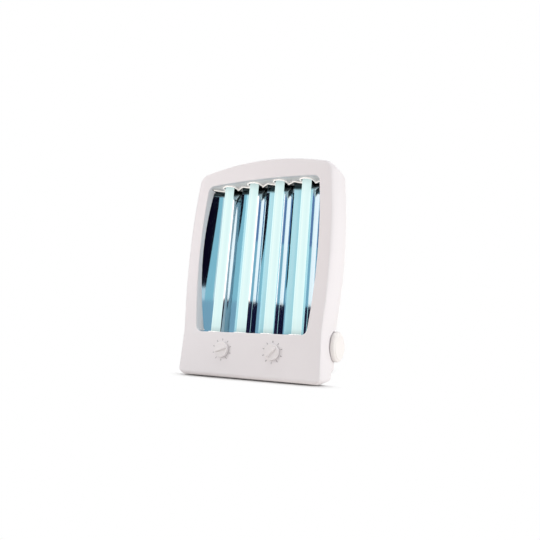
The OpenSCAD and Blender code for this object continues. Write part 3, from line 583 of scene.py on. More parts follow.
class Housing:
    """Outlines and rings of the housing: u runs across, v up the face and w into the depth."""

    def __init__(self, scene, count=640):
        self.sizes, self.light, self.stand = scene.lamp_housing, scene.lamp_light, scene.lamp_stand
        s, t = self.sizes, self.stand
        self.cos, self.sin, self.tan = math.cos(s.lean), math.sin(s.lean), math.tan(s.lean)
        self.row_y = PIVOT[1] - t.pivot_v * self.sin - t.pivot_w * self.cos
        self.low = s.panel_h
        self.high = s.panel_h + s.window_h
        self.face_h = self.high + s.top_band
        self.belly = s.panel_h + s.belly_up
        self.body_hw = s.window_hw + s.side_band
        self.base_hw = self.body_hw - s.base_tuck
        self.tubes = (np.arange(4) - 1.5) * self.light.tube_pitch
        self.outer = self.tubes[-1]
        self.centre = np.array([0, s.panel_h + s.window_h / 2])
        self.seat_x = self.half_width(t.pivot_v) - s.cover_step + t.pad_h
        self.turns = self.spread(count)
        self.body = self.outline(self.in_body)
        self.body_in = inward(self.body)
        self.window = self.outline(self.in_window)
        self.window_in = inward(self.window)
        self.cover = self.outline(self.in_cover)
        self.cover_in = inward(self.cover)

    def world(self, u, v, w):
        """From the leaning face's coordinates to the table's."""
        u, v, w = np.broadcast_arrays(u, v, w)
        return np.stack([u, self.row_y + v * self.sin + w * self.cos,
                         self.sizes.foot_t + v * self.cos - w * self.sin], -1)

    def on_face(self, points):
        """The face's u and v of points on the table's coordinates."""
        y, z = points[:, 1] - self.row_y, points[:, 2] - self.sizes.foot_t
        return points[:, 0], y * self.sin + z * self.cos

    def half_width(self, v):
        """Half width: the larger of a barrelled belly and a flared foot, with a soft change between them."""
        s = self.sizes
        belly = self.body_hw - (v - self.belly) ** 2 / (2 * s.side_arc)
        foot = self.base_hw - s.base_flare * v / s.panel_h
        return (belly + foot + np.sqrt((belly - foot) ** 2 + s.waist_soft ** 2)) / 2

    def top_line(self, u):
        """Height of the arched top: it falls with the square of the distance from the middle."""
        return self.face_h - u ** 2 / (2 * self.sizes.top_arc)

    def window_side(self, v):
        """Half width of the window, barrelled like the housing's side."""
        return self.sizes.window_hw - (v - self.belly) ** 2 / (2 * self.sizes.side_arc)

    def window_line(self, u):
        """Height of the window's arched top edge."""
        return self.high - u ** 2 / (2 * self.sizes.window_arc)

    @staticmethod
    def corner(a, b, r):
        """Depth inside two edges whose corner is rounded to radius r."""
        return np.where((a < r) & (b < r), r - np.hypot(r - a, r - b), np.minimum(a, b))

    def in_body(self, u, v, foot=0.0):
        """Depth inside the housing's outline above a foot line."""
        side = self.half_width(v) - abs(u)
        return np.minimum(self.corner(side, self.top_line(u) - v, self.sizes.top_corner),
                          self.corner(side, v - foot, self.sizes.base_corner))

    def in_cover(self, u, v):
        """Depth inside the rear cover's outline, which starts above the housing's foot."""
        return self.in_body(u, v, self.sizes.cover_foot)

    def in_window(self, u, v):
        """Depth inside the window's outline."""
        side = self.window_side(v) - abs(u)
        return np.minimum(self.corner(side, self.window_line(u) - v, self.sizes.window_corner),
                          self.corner(side, v - self.low, self.sizes.window_corner))

    def outline(self, inside, depth=0.0, turns=None, halvings=40):
        """Where rays from the window's centre reach a depth inside an outline, by halving the interval."""
        turns = self.turns if turns is None else turns
        ray = np.stack([np.cos(turns), np.sin(turns)], -1)
        near, far = np.zeros(len(turns)), np.full(len(turns), self.face_h)
        for _ in range(halvings):
            mid = (near + far) / 2
            p = self.centre + mid[:, None] * ray
            hit = inside(p[:, 0], p[:, 1]) > depth
            near, far = np.where(hit, mid, near), np.where(hit, far, mid)
        return self.centre + near[:, None] * ray

    def spread(self, count, bend=0.05):
        """Ray angles, closer together where an outline is long or bends: equal shares of length and turn."""
        fine = np.radians(np.linspace(-90, 270, 7201))
        share = np.zeros(len(fine) - 1)
        for inside in (self.in_body, self.in_window, self.in_cover):
            line = self.outline(inside, 0.0, fine)
            step = np.diff(line, axis=0)
            head = np.unwrap(np.arctan2(step[:, 1], step[:, 0]))
            share += np.hypot(*step.T) + bend * np.abs(np.diff(head, append=head[-1]))
        total = np.concatenate([[0], np.cumsum(share)])
        return np.interp(np.linspace(0, total[-1], count, endpoint=False), total, fine)

    def placed(self, line, w):
        """A ring at depth w: the lowest strip rises with the depth, so that the underside stays level."""
        v = line[:, 1]
        v = v + w * self.tan * np.maximum(0, 1 - v / self.sizes.cover_foot)
        return self.world(line[:, 0], v, w)

    def rolled(self, t, shell=0.0, extra=0.0):
        """Ring of the rolled front edge at angle t: a quarter ellipse whose axes change round the outline."""
        s, n = self.sizes, self.body_in
        rise = np.clip((self.body[:, 1] - self.low) / s.belly_up, 0, 1)
        side = s.edge_panel + (s.edge_belly - s.edge_panel) * rise ** 2 * (3 - 2 * rise)
        wide = n[:, 0] ** 2 * side + n[:, 1] ** 2 * np.where(n[:, 1] < 0, s.edge_top, s.edge_base)
        deep = n[:, 0] ** 2 * s.roll_side + n[:, 1] ** 2 * np.where(n[:, 1] < 0, s.roll_top, s.roll_base)
        line = self.body + (shell + extra + wide * (1 - math.sin(t)))[:, None] * n
        return self.placed(line, shell + deep * (1 - math.cos(t)))

    def body_ring(self, depth, w):
        """The housing's outline, drawn in by a depth, at depth w behind the face."""
        return self.placed(self.body + depth * self.body_in, w)

    def cover_ring(self, depth, w):
        """The rear cover's outline, drawn in by a depth, at depth w behind the face."""
        return self.placed(self.cover + depth * self.cover_in, w)

    def window_ring(self, out, w):
        """The window's outline, moved out by a distance, at depth w behind the face."""
        return self.placed(self.window - out * self.window_in, w)

    def window_back(self, out):
        """Rear edge of the window's walls: just in front of the reflector at the sides, short at the ends."""
        line = self.window - out * self.window_in
        ends = abs(self.window_in[:, 1]) > 0.6
        deep = np.where(ends, self.light.end_wall_w, self.trough(line[:, 0]) - self.sizes.clear)
        return self.placed(line, deep)

    def off_tube(self, u):
        """Distance across from the nearest tube's axis."""
        return np.abs(np.asarray(u)[..., None] - self.tubes).min(-1)

    def trough(self, u):
        """Front of the reflector: one parabola behind each tube."""
        return self.light.trough_depth - self.off_tube(u) ** 2 / (4 * self.light.focal)

    def trough_steps(self, half, fine=24, flank=24):
        """Places across the troughs, with one on every ridge and every axis."""
        inner = np.arange(-1.5 * fine, 1.5 * fine + 1) * self.light.tube_pitch / fine
        right = np.linspace(self.outer, half, flank + 1)[1:]
        return np.concatenate([-right[::-1], inner, right])

    def facing(self, u0, v0):
        """Frame of a piece on the face: x across, y up the face, z towards the viewer."""
        return lambda x, y, z: self.world(u0 + x, v0 + y, -z)

    def beside(self, side):
        """Frame of a piece on the pivot's axis: x into the depth, y up the face, z outwards on one side."""
        return lambda x, y, z: self.world(side * z, self.stand.pivot_v + y, self.stand.pivot_w + x)


class LampOperator:
    """Shared settings of the building operators."""
    bl_options = {"REGISTER", "UNDO"}


class LAMP_OT_finishes(LampOperator, bpy.types.Operator):
    """Make every finish and give the kept nodes theirs"""
    bl_idname = "lamp.finishes"
    bl_label = "Finishes"

    def execute(self, context):
        c = context.scene.lamp_finishes
        ends = [corner.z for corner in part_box("uv_tube_1")]
        FINISH.update({
            "housing_white": moulded("Housing white", c.shell),
            "cover_white": moulded("Cover white", c.cover, 0.46),
            "end_wall_white": painted_rim_glow("End wall white painted glow", c.inside),
            "dial_white": moulded("Dial white", c.dial, 0.34, 0.0006),
            "clamp_white": moulded("Clamp knob white", c.clamp, 0.38),
            "stand_white": moulded("Stand white", c.stand, 0.44),
            "gland_white": moulded("Gland white", c.cover, 0.5),
            "mark_grey": moulded("Mark grey", c.mark, 0.5, 0.0004),
            "reflector_mirror": polished_sheet_painted_shade("Reflector sheet painted shade", c.mirror, ends[1]),
            "tube_glass": lit_tube("Lit tube", tuple(c.glow), *ends),
            "cap_metal": bare_metal("Cap metal", (0.72, 0.72, 0.73), 0.32, (1, 1, 0.1)),
            "pin_brass": bare_metal("Pin brass", (0.70, 0.52, 0.22), 0.3),
            "holder_ivory": moulded("Holder ivory", (0.24, 0.16, 0.09), 0.45),
            "bracket_steel": bare_metal("Bracket steel", (0.55, 0.56, 0.58), 0.36, (0.05, 1, 1)),
            "choke_iron": stacked_plates("Choke iron", (0.16, 0.165, 0.18)),
            "choke_copper": wound_wire("Choke copper", (0.50, 0.22, 0.09)),
            "starter_white": moulded("Starter white", (0.70, 0.70, 0.68), 0.4),
            "control_dark": moulded("Control black", (0.02, 0.02, 0.022), 0.45),
            "screw_steel": bare_metal("Screw steel", (0.58, 0.58, 0.60), 0.3),
            "foot_rubber": soft_rubber("Foot rubber", c.rubber),
            "washer_fibre": soft_rubber("Washer fibre", (0.09, 0.075, 0.065)),
        })
        for part in frame["record"]["subparts"]:
            mesh = frame["nodes"][part["node"]].data
            mesh.materials.clear()
            mesh.materials.append(FINISH[part["material_slot"]])
        return {"FINISHED"}


class LAMP_OT_front(LampOperator, bpy.types.Operator):
    """Front frame: one closed skin of rings from the rolled edge round the back to the window's lip"""
    bl_idname = "lamp.front"
    bl_label = "Front frame"

    def execute(self, context):
        h = Housing(context.scene)
        s = h.sizes
        flange, soft, border = 0.004, 0.0005, 0.0006
        rings = [h.rolled(0, 0, border)]
        rings += [h.rolled(math.radians(t)) for t in np.linspace(0, 90, 31)]
        rings += [h.body_ring(0, s.frame_depth - soft * 2)]
        rings += [h.body_ring(soft * (1 - math.cos(t)), s.frame_depth - soft * (1 - math.sin(t)))
                  for t in np.radians(np.linspace(0, 90, 5))]
        rings += [h.cover_ring(flange, s.frame_depth), h.cover_ring(flange, s.frame_depth - s.wall),
                  h.body_ring(s.wall, s.frame_depth - s.wall)]
        rings += [h.rolled(math.radians(t), s.wall) for t in np.linspace(90, 0, 7)]
        rings += [h.window_ring(s.wall, s.wall), h.window_back(s.wall), h.window_back(0)]
        rings += [h.window_ring(0, s.lip * 1.5)]
        rings += [h.window_ring(s.lip * (1 - math.sin(t)), s.lip * (1 - math.cos(t)))
                  for t in np.radians(np.linspace(90, 0, 10))]
        rings += [h.window_ring(s.lip + soft, 0)]
        as_piece("housing_front", [loft(rings, True)], "housing", "housing_white", ["front_frame"])
        return {"FINISHED"}


class LAMP_OT_back(LampOperator, bpy.types.Operator):
    """Rear cover: a rounded rim and a sunk panel, with vents, screw wells, stand pockets and pivot bosses"""
    bl_idname = "lamp.back"
    bl_label = "Rear cover"

    def execute(self, context):
        h = Housing(context.scene)
        s, t = h.sizes, h.stand
        soft, past, lap, well_t, pad_edge = 0.0004, 0.001, 0.003, 0.0015, 0.0006
        gap, pocket_corner, block_corner = t.joint_gap, 0.0008, 0.002
        turn_w, rim_in = s.cover_back - s.cover_round, s.cover_step + s.wall
        inner_r = s.cover_round - s.wall
        panel_w, under_w = s.cover_back - s.panel_sunk, s.cover_back - s.wall - s.panel_sunk
        through = (under_w - past, panel_w)
        lip = h.outline(h.in_cover, s.cover_step + s.cover_round + 2 * s.panel_lap)
        lip_in = inward(lip)
        quarter = np.radians(np.linspace(0, 90, 19))
        rings = [h.placed(h.outline(h.in_cover, s.cover_step + s.cover_round), under_w)]
        rings += [h.cover_ring(rim_in + inner_r * (1 - math.cos(a)), turn_w + inner_r * math.sin(a))
                  for a in quarter[::-6]]
        rings += [h.cover_ring(rim_in, s.frame_depth), h.cover_ring(s.cover_step, s.frame_depth)]
        rings += [h.cover_ring(s.cover_step + s.cover_round * (1 - math.cos(a)),
                               turn_w + s.cover_round * math.sin(a)) for a in quarter]
        rings += [h.placed(lip + (soft * math.sin(a) - soft) * lip_in,
                           s.cover_back - soft * (1 - math.cos(a))) for a in quarter[::6]]
        rings += [h.placed(lip, panel_w)]
        flat = [list(range(len(lip)))]
        skin = [loft(rings, False), (rings[0], flat), (rings[-1], flat)]

        cut, wells, blocks = [], [], []
        count = int((h.outer + h.light.notch_r - t.vent_w) / t.vent_pitch)
        slot = stadium(t.vent_h, t.vent_w)[:, ::-1] * (-1, 1)
        for v in (h.high - t.vent_in, h.low + t.vent_in):
            for i in range(-count, count + 1):
                cut += prism(slot + (i * t.vent_pitch, v), through, h.world, soft)
        cut += prism(ring_line(0, t.pivot_v, t.gland_r - s.wall / 2, 64), through, h.world)
        side_u, low_u = s.window_hw + t.screw_out, s.window_hw + t.low_screw_out
        spots = [(0, h.face_h - t.screw_drop)]
        for u, v in ((side_u, h.low + t.screw_rise), (side_u, h.high - t.screw_fall), (low_u, t.low_screw_v)):
            spots += [(u, v), (-u, v)]
        for u, v in spots:
            wells += prism(ring_line(u, v, t.well_r + well_t, 48), (s.frame_depth, under_w - lap), h.world)
            cut += prism(ring_line(u, v, t.well_r, 48), (s.frame_depth + s.wall, panel_w), h.world, soft)
        front = t.pivot_w - t.eye_r - gap
        low, high = s.cover_foot + t.pocket_rise + s.cover_step, t.pivot_v + t.eye_r + gap
        inner, outer = (rounded_box(t.arm_t + 2 * (gap + e), high - low + 2 * e, r)
                        for e, r in ((0, pocket_corner), (s.wall, block_corner)))
        for side in (-1, 1):
            middle = (side * (t.arm_in + t.arm_t / 2), (low + high) / 2)
            blocks += prism(outer + middle, (front - s.wall, under_w - lap), h.world)
            cut += prism(inner + middle, (front, panel_w), h.world, soft)
        pad = np.concatenate([[(0, 0), (t.boss_r, 0)], arc(t.boss_r - pad_edge, 0, pad_edge, 0, 90, 5),
                              [(0, pad_edge)]])
        pad[:, 1] += h.seat_x - pad_edge
        pad[:2, 1] = t.arm_in + t.arm_t + gap + s.wall / 2
        bosses = [revolved(pad, h.beside(side), 64) for side in (-1, 1)]
        mesh = carved(skin, (wells, blocks, bosses), cut)
        as_piece("housing_back", mesh, "housing", "cover_white", ["rear_cover"])
        return {"FINISHED"}


class LAMP_OT_light(LampOperator, bpy.types.Operator):
    """Reflector sheet with a parabola behind each tube, and the four tubes"""
    bl_idname = "lamp.light"
    bl_label = "Tubes and reflector"

    def execute(self, context):
        h = Housing(context.scene)
        s, l = h.sizes, h.light
        u = h.trough_steps(s.window_hw + l.sheet_side)
        front = h.trough(u)
        thick = l.sheet_t * np.sqrt(1 + (h.off_tube(u) / (2 * l.focal)) ** 2)
        section = np.concatenate([np.stack([u, front], -1), np.stack([u, front + thick], -1)[::-1]])
        levels = np.linspace(h.low - l.sheet_over, h.high + l.sheet_over, 3)
        rings = [h.world(section[:, 0], v, section[:, 1]) for v in levels]
        half = len(u)
        i = np.arange(half - 1)
        cap = np.stack([i, i + 1, 2 * half - 2 - i, 2 * half - 1 - i], -1)
        as_piece("reflector_sheet", [loft(rings, False), (rings[0], cap), (rings[-1], cap)],
                 "housing", "reflector_mirror", ["reflector"], sharp=40)
        end, plain = 0.0012, 0.01
        profile = np.concatenate([[(0, h.low)], arc(l.tube_r - end, h.low + end, end, -90, 0, 5),
                                  [(l.tube_r, v) for v in np.linspace(h.low + plain, h.high - plain, 9)],
                                  arc(l.tube_r - end, h.high - end, end, 0, 90, 5), [(0, h.high)]])
        for number, at in enumerate(h.tubes, 1):
            tube = revolved(profile, lambda x, y, z, c=at: h.world(c + x, z, l.tube_depth + y), 64)
            piece = as_piece(f"lit_tube_{number}", [tube], "housing", "tube_glass", [f"uv_tube_{number}"])
            piece.visible_diffuse = False  # the mouldings take no colour from the tubes
        return {"FINISHED"}


class LAMP_OT_end_walls(LampOperator, bpy.types.Operator):
    """End walls: a comb with a round notch for each tube, its rear edge cut to the reflector"""
    bl_idname = "lamp.end_walls"
    bl_label = "End walls"

    def execute(self, context):
        h = Housing(context.scene)
        s, l = h.sizes, h.light
        half = h.window_side(h.high) + s.wall
        step = h.trough_steps(half, 24, 12)
        rear = h.trough(step) - s.clear
        keep = (abs(step) > h.outer + l.notch_r) | (h.off_tube(step) >= l.notch_r)
        front = np.linspace(-half, half, 97)
        line = [np.stack([front, np.full(len(front), l.end_wall_w)], -1)]
        for k, at in enumerate(h.tubes[::-1]):
            reach = half + 1 if k == 0 else (h.tubes[::-1][k - 1] + at) / 2
            mine = keep & (step > at) & (step <= reach)
            line.append(np.stack([step[mine], rear[mine]], -1)[::-1])
            deep = h.trough(at + l.notch_r) - s.clear
            notch = arc(at, l.tube_depth, l.notch_r, 0, -180, 28)
            line.append(np.concatenate([[(at + l.notch_r, deep)], notch, [(at - l.notch_r, deep)]]))
        mine = keep & (step < h.tubes[0])
        line.append(np.stack([step[mine], rear[mine]], -1)[::-1])
        comb = np.concatenate(line)
        points, faces = union_net([comb])
        bead_r, facets, off_wall = 0.0012, 12, 0.0001
        bead = inset(comb, bead_r)[len(front):]
        across = normals(np.gradient(bead, axis=0))
        round_a = np.linspace(0, 2 * np.pi, facets, endpoint=False)
        for name, node, base, rise in (("end_wall_upper", "upper_end_wall", h.window_line, 1),
                                       ("end_wall_lower", "lower_end_wall", lambda u: h.low + 0 * u, -1)):
            sheets, side = ([h.world(p[:, 0], base(p[:, 0]) + rise * t, p[:, 1]) for t in (0, l.end_wall_t)]
                            for p in (points, comb))
            parts = [(sheet, faces) for sheet in sheets] + [loft(side, False)]
            out = bead[:, None] + bead_r * np.cos(round_a)[None, :, None] * across[:, None]
            up = base(out[..., 0]) - rise * bead_r / 2 + bead_r * np.sin(round_a)
            rim = h.world(out[..., 0], up, out[..., 1])
            parts += [(rim.reshape(-1, 3), grid_faces(len(bead), facets)), lid(rim[0]), lid(rim[-1])]
            wall = as_piece(name, parts, "housing", "end_wall_white", [node]).data
            spots = np.empty(3 * len(wall.vertices))
            wall.vertices.foreach_get("co", spots)
            u, v = h.on_face(spots.reshape(-1, 3))
            # the rim attribute marks the bead that gets the painted glow and painted highlight
            mark = (rise * (base(u) - v) > off_wall).astype(float)
            wall.attributes.new("rim", "FLOAT", "POINT").data.foreach_set("value", mark)
        return {"FINISHED"}


class LAMP_OT_dials(LampOperator, bpy.types.Operator):
    """Two dial knobs with a grip bar, and the raised marks round them"""
    bl_idname = "lamp.dials"
    bl_label = "Dials"

    def execute(self, context):
        h = Housing(context.scene)
        c = context.scene.lamp_controls
        edge, shelf, lap, bar_edge, bar_draft = 0.0014, 0.0003, 0.001, 0.0009, 0.0005
        sunk, mark_r, mark_edge, mark_draft = 0.0002, 0.0004, 0.00025, 0.00005
        top = c.dial_gap + c.dial_t
        profile = np.concatenate([[(0, c.dial_gap), (c.dial_r - edge / 3, c.dial_gap)],
                                  [(c.dial_r, c.dial_gap + edge / 3)],
                                  arc(c.dial_r - edge, top - edge, edge, 0, 90, 8),
                                  [(c.dial_r - edge - shelf, top), (0, top)]])
        bar = stadium(c.bar_len, c.bar_w)
        mark = rounded_box(c.mark_w, c.mark_len, mark_r, 3) + (0, c.dial_r + c.mark_gap + c.mark_len / 2)
        marks = []
        for side, angle, kind in ((-1, c.timer_turn, "timer"), (1, c.selector_turn, "selector")):
            here = h.facing(side * c.spacing / 2, c.height)
            grip = pillow(spun(bar, angle), top - lap, top + c.bar_t, bar_edge, here, bar_draft)
            as_piece(f"dial_{kind}", [revolved(profile, here), *grip], f"{kind}_dial", "dial_white",
                     [f"{kind}_knob"])
            for a in np.arange(c.marks) * 2 * math.pi / c.marks:
                marks += pillow(spun(mark, a), -sunk, c.mark_t, mark_edge, here, mark_draft, 3)
        as_piece("dial_ticks", marks, "housing", "mark_grey", ["dial_marks"])
        return {"FINISHED"}


class LAMP_OT_clamps(LampOperator, bpy.types.Operator):
    """Clamp knobs: tapered discs whose rim radius dips in round grooves"""
    bl_idname = "lamp.clamps"
    bl_label = "Clamp knobs"

    def execute(self, context):
        h = Housing(context.scene)
        t = h.stand
        low, rim, taper = FIT, t.clamp_t * 0.45, t.clamp_taper * 0.45
        top_r, edge, foot_r, groove = t.clamp_r - t.clamp_taper, 0.0014, 0.001, 0.0006
        shelf, dish_in, dish = 0.002, 0.005, 0.0002
        profile = np.concatenate([
            [(0, low), (t.clamp_r * 0.5, low)], arc(t.clamp_r - foot_r, low + foot_r, foot_r, -90, 0, 5),
            [(t.clamp_r, rim * 0.6), (t.clamp_r, rim)],
            [(t.clamp_r - taper * k, rim + (t.clamp_t - edge - rim) * k) for k in (0.25, 0.5, 0.75)],
            arc(top_r - edge, t.clamp_t - edge, edge, 10, 90, 8),
            [(top_r - edge - shelf, t.clamp_t), (top_r - dish_in, t.clamp_t - dish), (0, t.clamp_t - dish)]])
        a = np.linspace(0, 2 * np.pi, t.grooves * 8, endpoint=False)
        dip = groove * np.clip(np.cos(a * t.grooves) * 1.6 - 0.6, 0, 1)
        grip = np.clip(1 - np.abs(profile[:, 1] - rim * 0.5) / (rim * 0.75), 0, 1)
        grip = grip * (profile[:, 0] > t.clamp_r * 0.9)
        radius = profile[:, :1] - grip[:, None] ** 0.5 * dip
        x, y = radius * np.cos(a), radius * np.sin(a)
        z = np.broadcast_to(h.seat_x + profile[:, 1:], x.shape)
        for side, kind in ((1, "right"), (-1, "left")):
            knob = (h.beside(side)(x, y, z).reshape(-1, 3), grid_faces(len(profile), len(a)))
            as_piece(f"clamp_{kind}", [knob], f"{kind}_clamp", "clamp_white", [f"{kind}_clamp_knob"])
        return {"FINISHED"}


class LAMP_OT_stand(LampOperator, bpy.types.Operator):
    """Rear stand: two arms with eyes, a foot bar and its ribbed rubber sleeves"""
    bl_idname = "lamp.stand"
    bl_label = "Rear stand"

    def execute(self, context):
        t = context.scene.lamp_stand
        reach = math.hypot(t.leg_len, t.leg_offset)
        swing = math.acos((t.sleeve_r - PIVOT[2]) / reach) - math.atan2(t.leg_offset, t.leg_len)
        c, s = math.cos(swing), math.sin(swing)

        def leg(x, off, along):
            """From the folded leg's own plane to the table: turned about the pivot."""
            x, off, along = np.broadcast_arrays(x, off, along)
            return np.stack([x, PIVOT[1] + off * c + along * s, PIVOT[2] - off * s + along * c], -1)

        def link(p, rp, q, rq):
            """Outline of a straight bar with round ends of two radii."""
            p, q = np.array(p), np.array(q)
            gap = q - p
            head = math.degrees(math.atan2(gap[1], gap[0]))
            tilt = math.degrees(math.asin((rp - rq) / math.hypot(*gap)))
            return np.concatenate([arc(*q, rq, head - 90 + tilt, head + 90 - tilt, 24),
                                   arc(*p, rp, head + 90 - tilt, head + 270 + tilt, 24)])

        elbow, foot = (t.leg_offset, t.eye_r / 2), (t.leg_offset, t.leg_len)
        shapes = [link((0, 0), t.eye_r, elbow, t.bar_r), link(elbow, t.bar_r, foot, t.bar_r)]
        flat, faces = union_net(shapes)
        sides = np.concatenate([faces[:, [0, 1]], faces[:, [1, 2]], faces[:, [2, 0]]])
        kept, times = np.unique(np.sort(sides, 1), axis=0, return_counts=True)
        rim = kept[times == 1]
        parts = []
        for side in (-1, 1):
            inner, outer = (leg(side * x, flat[:, 0], flat[:, 1]) for x in (t.arm_in, t.arm_in + t.arm_t))
            rest = rim + len(flat)
            band = np.stack([rim[:, 0], rim[:, 1], rest[:, 1], rest[:, 0]], -1)
            parts += [(inner, faces), (outer, faces), (np.concatenate([inner, outer]), band)]

        def foot_bar(x, y, z):
            """Frame of a piece on the foot bar: z along it."""
            return leg(z, t.leg_offset + x, t.leg_len + y)

        lap = 0.001
        tube = revolved([(t.bar_r, -t.arm_in - lap), (t.bar_r, t.arm_in + lap)], foot_bar, 64)
        as_piece("stand_frame", parts + [tube], "stand", "stand_white", ["stand_leg"], bevel=0.0005)
        start = t.arm_in - t.part_gap - t.sleeve_len
        soft, ribs, rib_h, end_in = 0.0006, 8, 0.0004, 0.0012
        bore, end_r = t.bar_r + FIT, t.sleeve_r - end_in
        z = np.linspace(soft, t.sleeve_len - soft, 97)
        rib = t.sleeve_r - rib_h * (0.5 + 0.5 * np.cos(z / t.sleeve_len * 2 * np.pi * ribs)) ** 2
        profile = np.concatenate([[(bore, 0), (end_r, 0)], np.stack([rib, z], -1),
                                  [(end_r, t.sleeve_len), (bore, t.sleeve_len), (bore, 0)]])
        sleeves = [revolved(profile, lambda x, y, z, k=side: foot_bar(x, y, k * (start + z)), 64)
                   for side in (-1, 1)]
        as_piece("stand_sleeves", sleeves, "stand", "foot_rubber", ["foot_sleeves"])
        return {"FINISHED"}


class LAMP_OT_small(LampOperator, bpy.types.Operator):
    """Rubber feet under the frame and the ribbed cord gland"""
    bl_idname = "lamp.small"
    bl_label = "Feet and gland"

    def execute(self, context):
        h = Housing(context.scene)
        t = h.stand
        low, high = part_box("front_feet")
        soft, off_floor, foot_len = 0.0002, 0.00001, h.sizes.foot_len
        line = stadium(foot_len, high.y - low.y, 20)
        middle_x, middle_y = high.x - foot_len / 2, (high.y + low.y) / 2
        feet = []
        for side in (-1, 1):
            def below(x, y, z, k=side):
                """Frame of a foot: on the table's axes, round the foot's middle."""
                return np.stack([k * (middle_x + x), middle_y + y, z], -1)
            feet += pillow(line, high.z, low.z + off_floor, 0.0, below, soft, 1)
        as_piece("rest_feet", feet, "housing", "foot_rubber", ["front_feet"])
        edge, rib_h, bevel, end_in = 0.0006, 0.0006, 0.0004, 0.001
        back, body = h.sizes.cover_back, t.gland_r - h.sizes.wall / 2 - FIT
        inside, top, collar = back - t.gland_in, back + t.gland_out, back + t.collar_t
        z = np.linspace(collar, top - bevel, 33)
        ribs = body - rib_h * np.sin((z - z[0]) / (z[-1] - z[0]) * np.pi * 3) ** 2
        profile = np.concatenate([[(t.lead_r, inside), (body, inside), (body, back), (t.gland_r, back)],
                                  arc(t.gland_r - edge, collar - edge, edge, 0, 90, 5),
                                  np.stack([ribs, z], -1), [(body - end_in, top), (t.lead_r + bevel, top)],
                                  [(t.lead_r, top - bevel), (t.lead_r, inside)]])
        gland = revolved(profile, lambda x, y, z: h.world(x, t.pivot_v + y, z), 64)
        as_piece("lead_gland", [gland], "housing", "gland_white", ["cord_gland"])
        return {"FINISHED"}


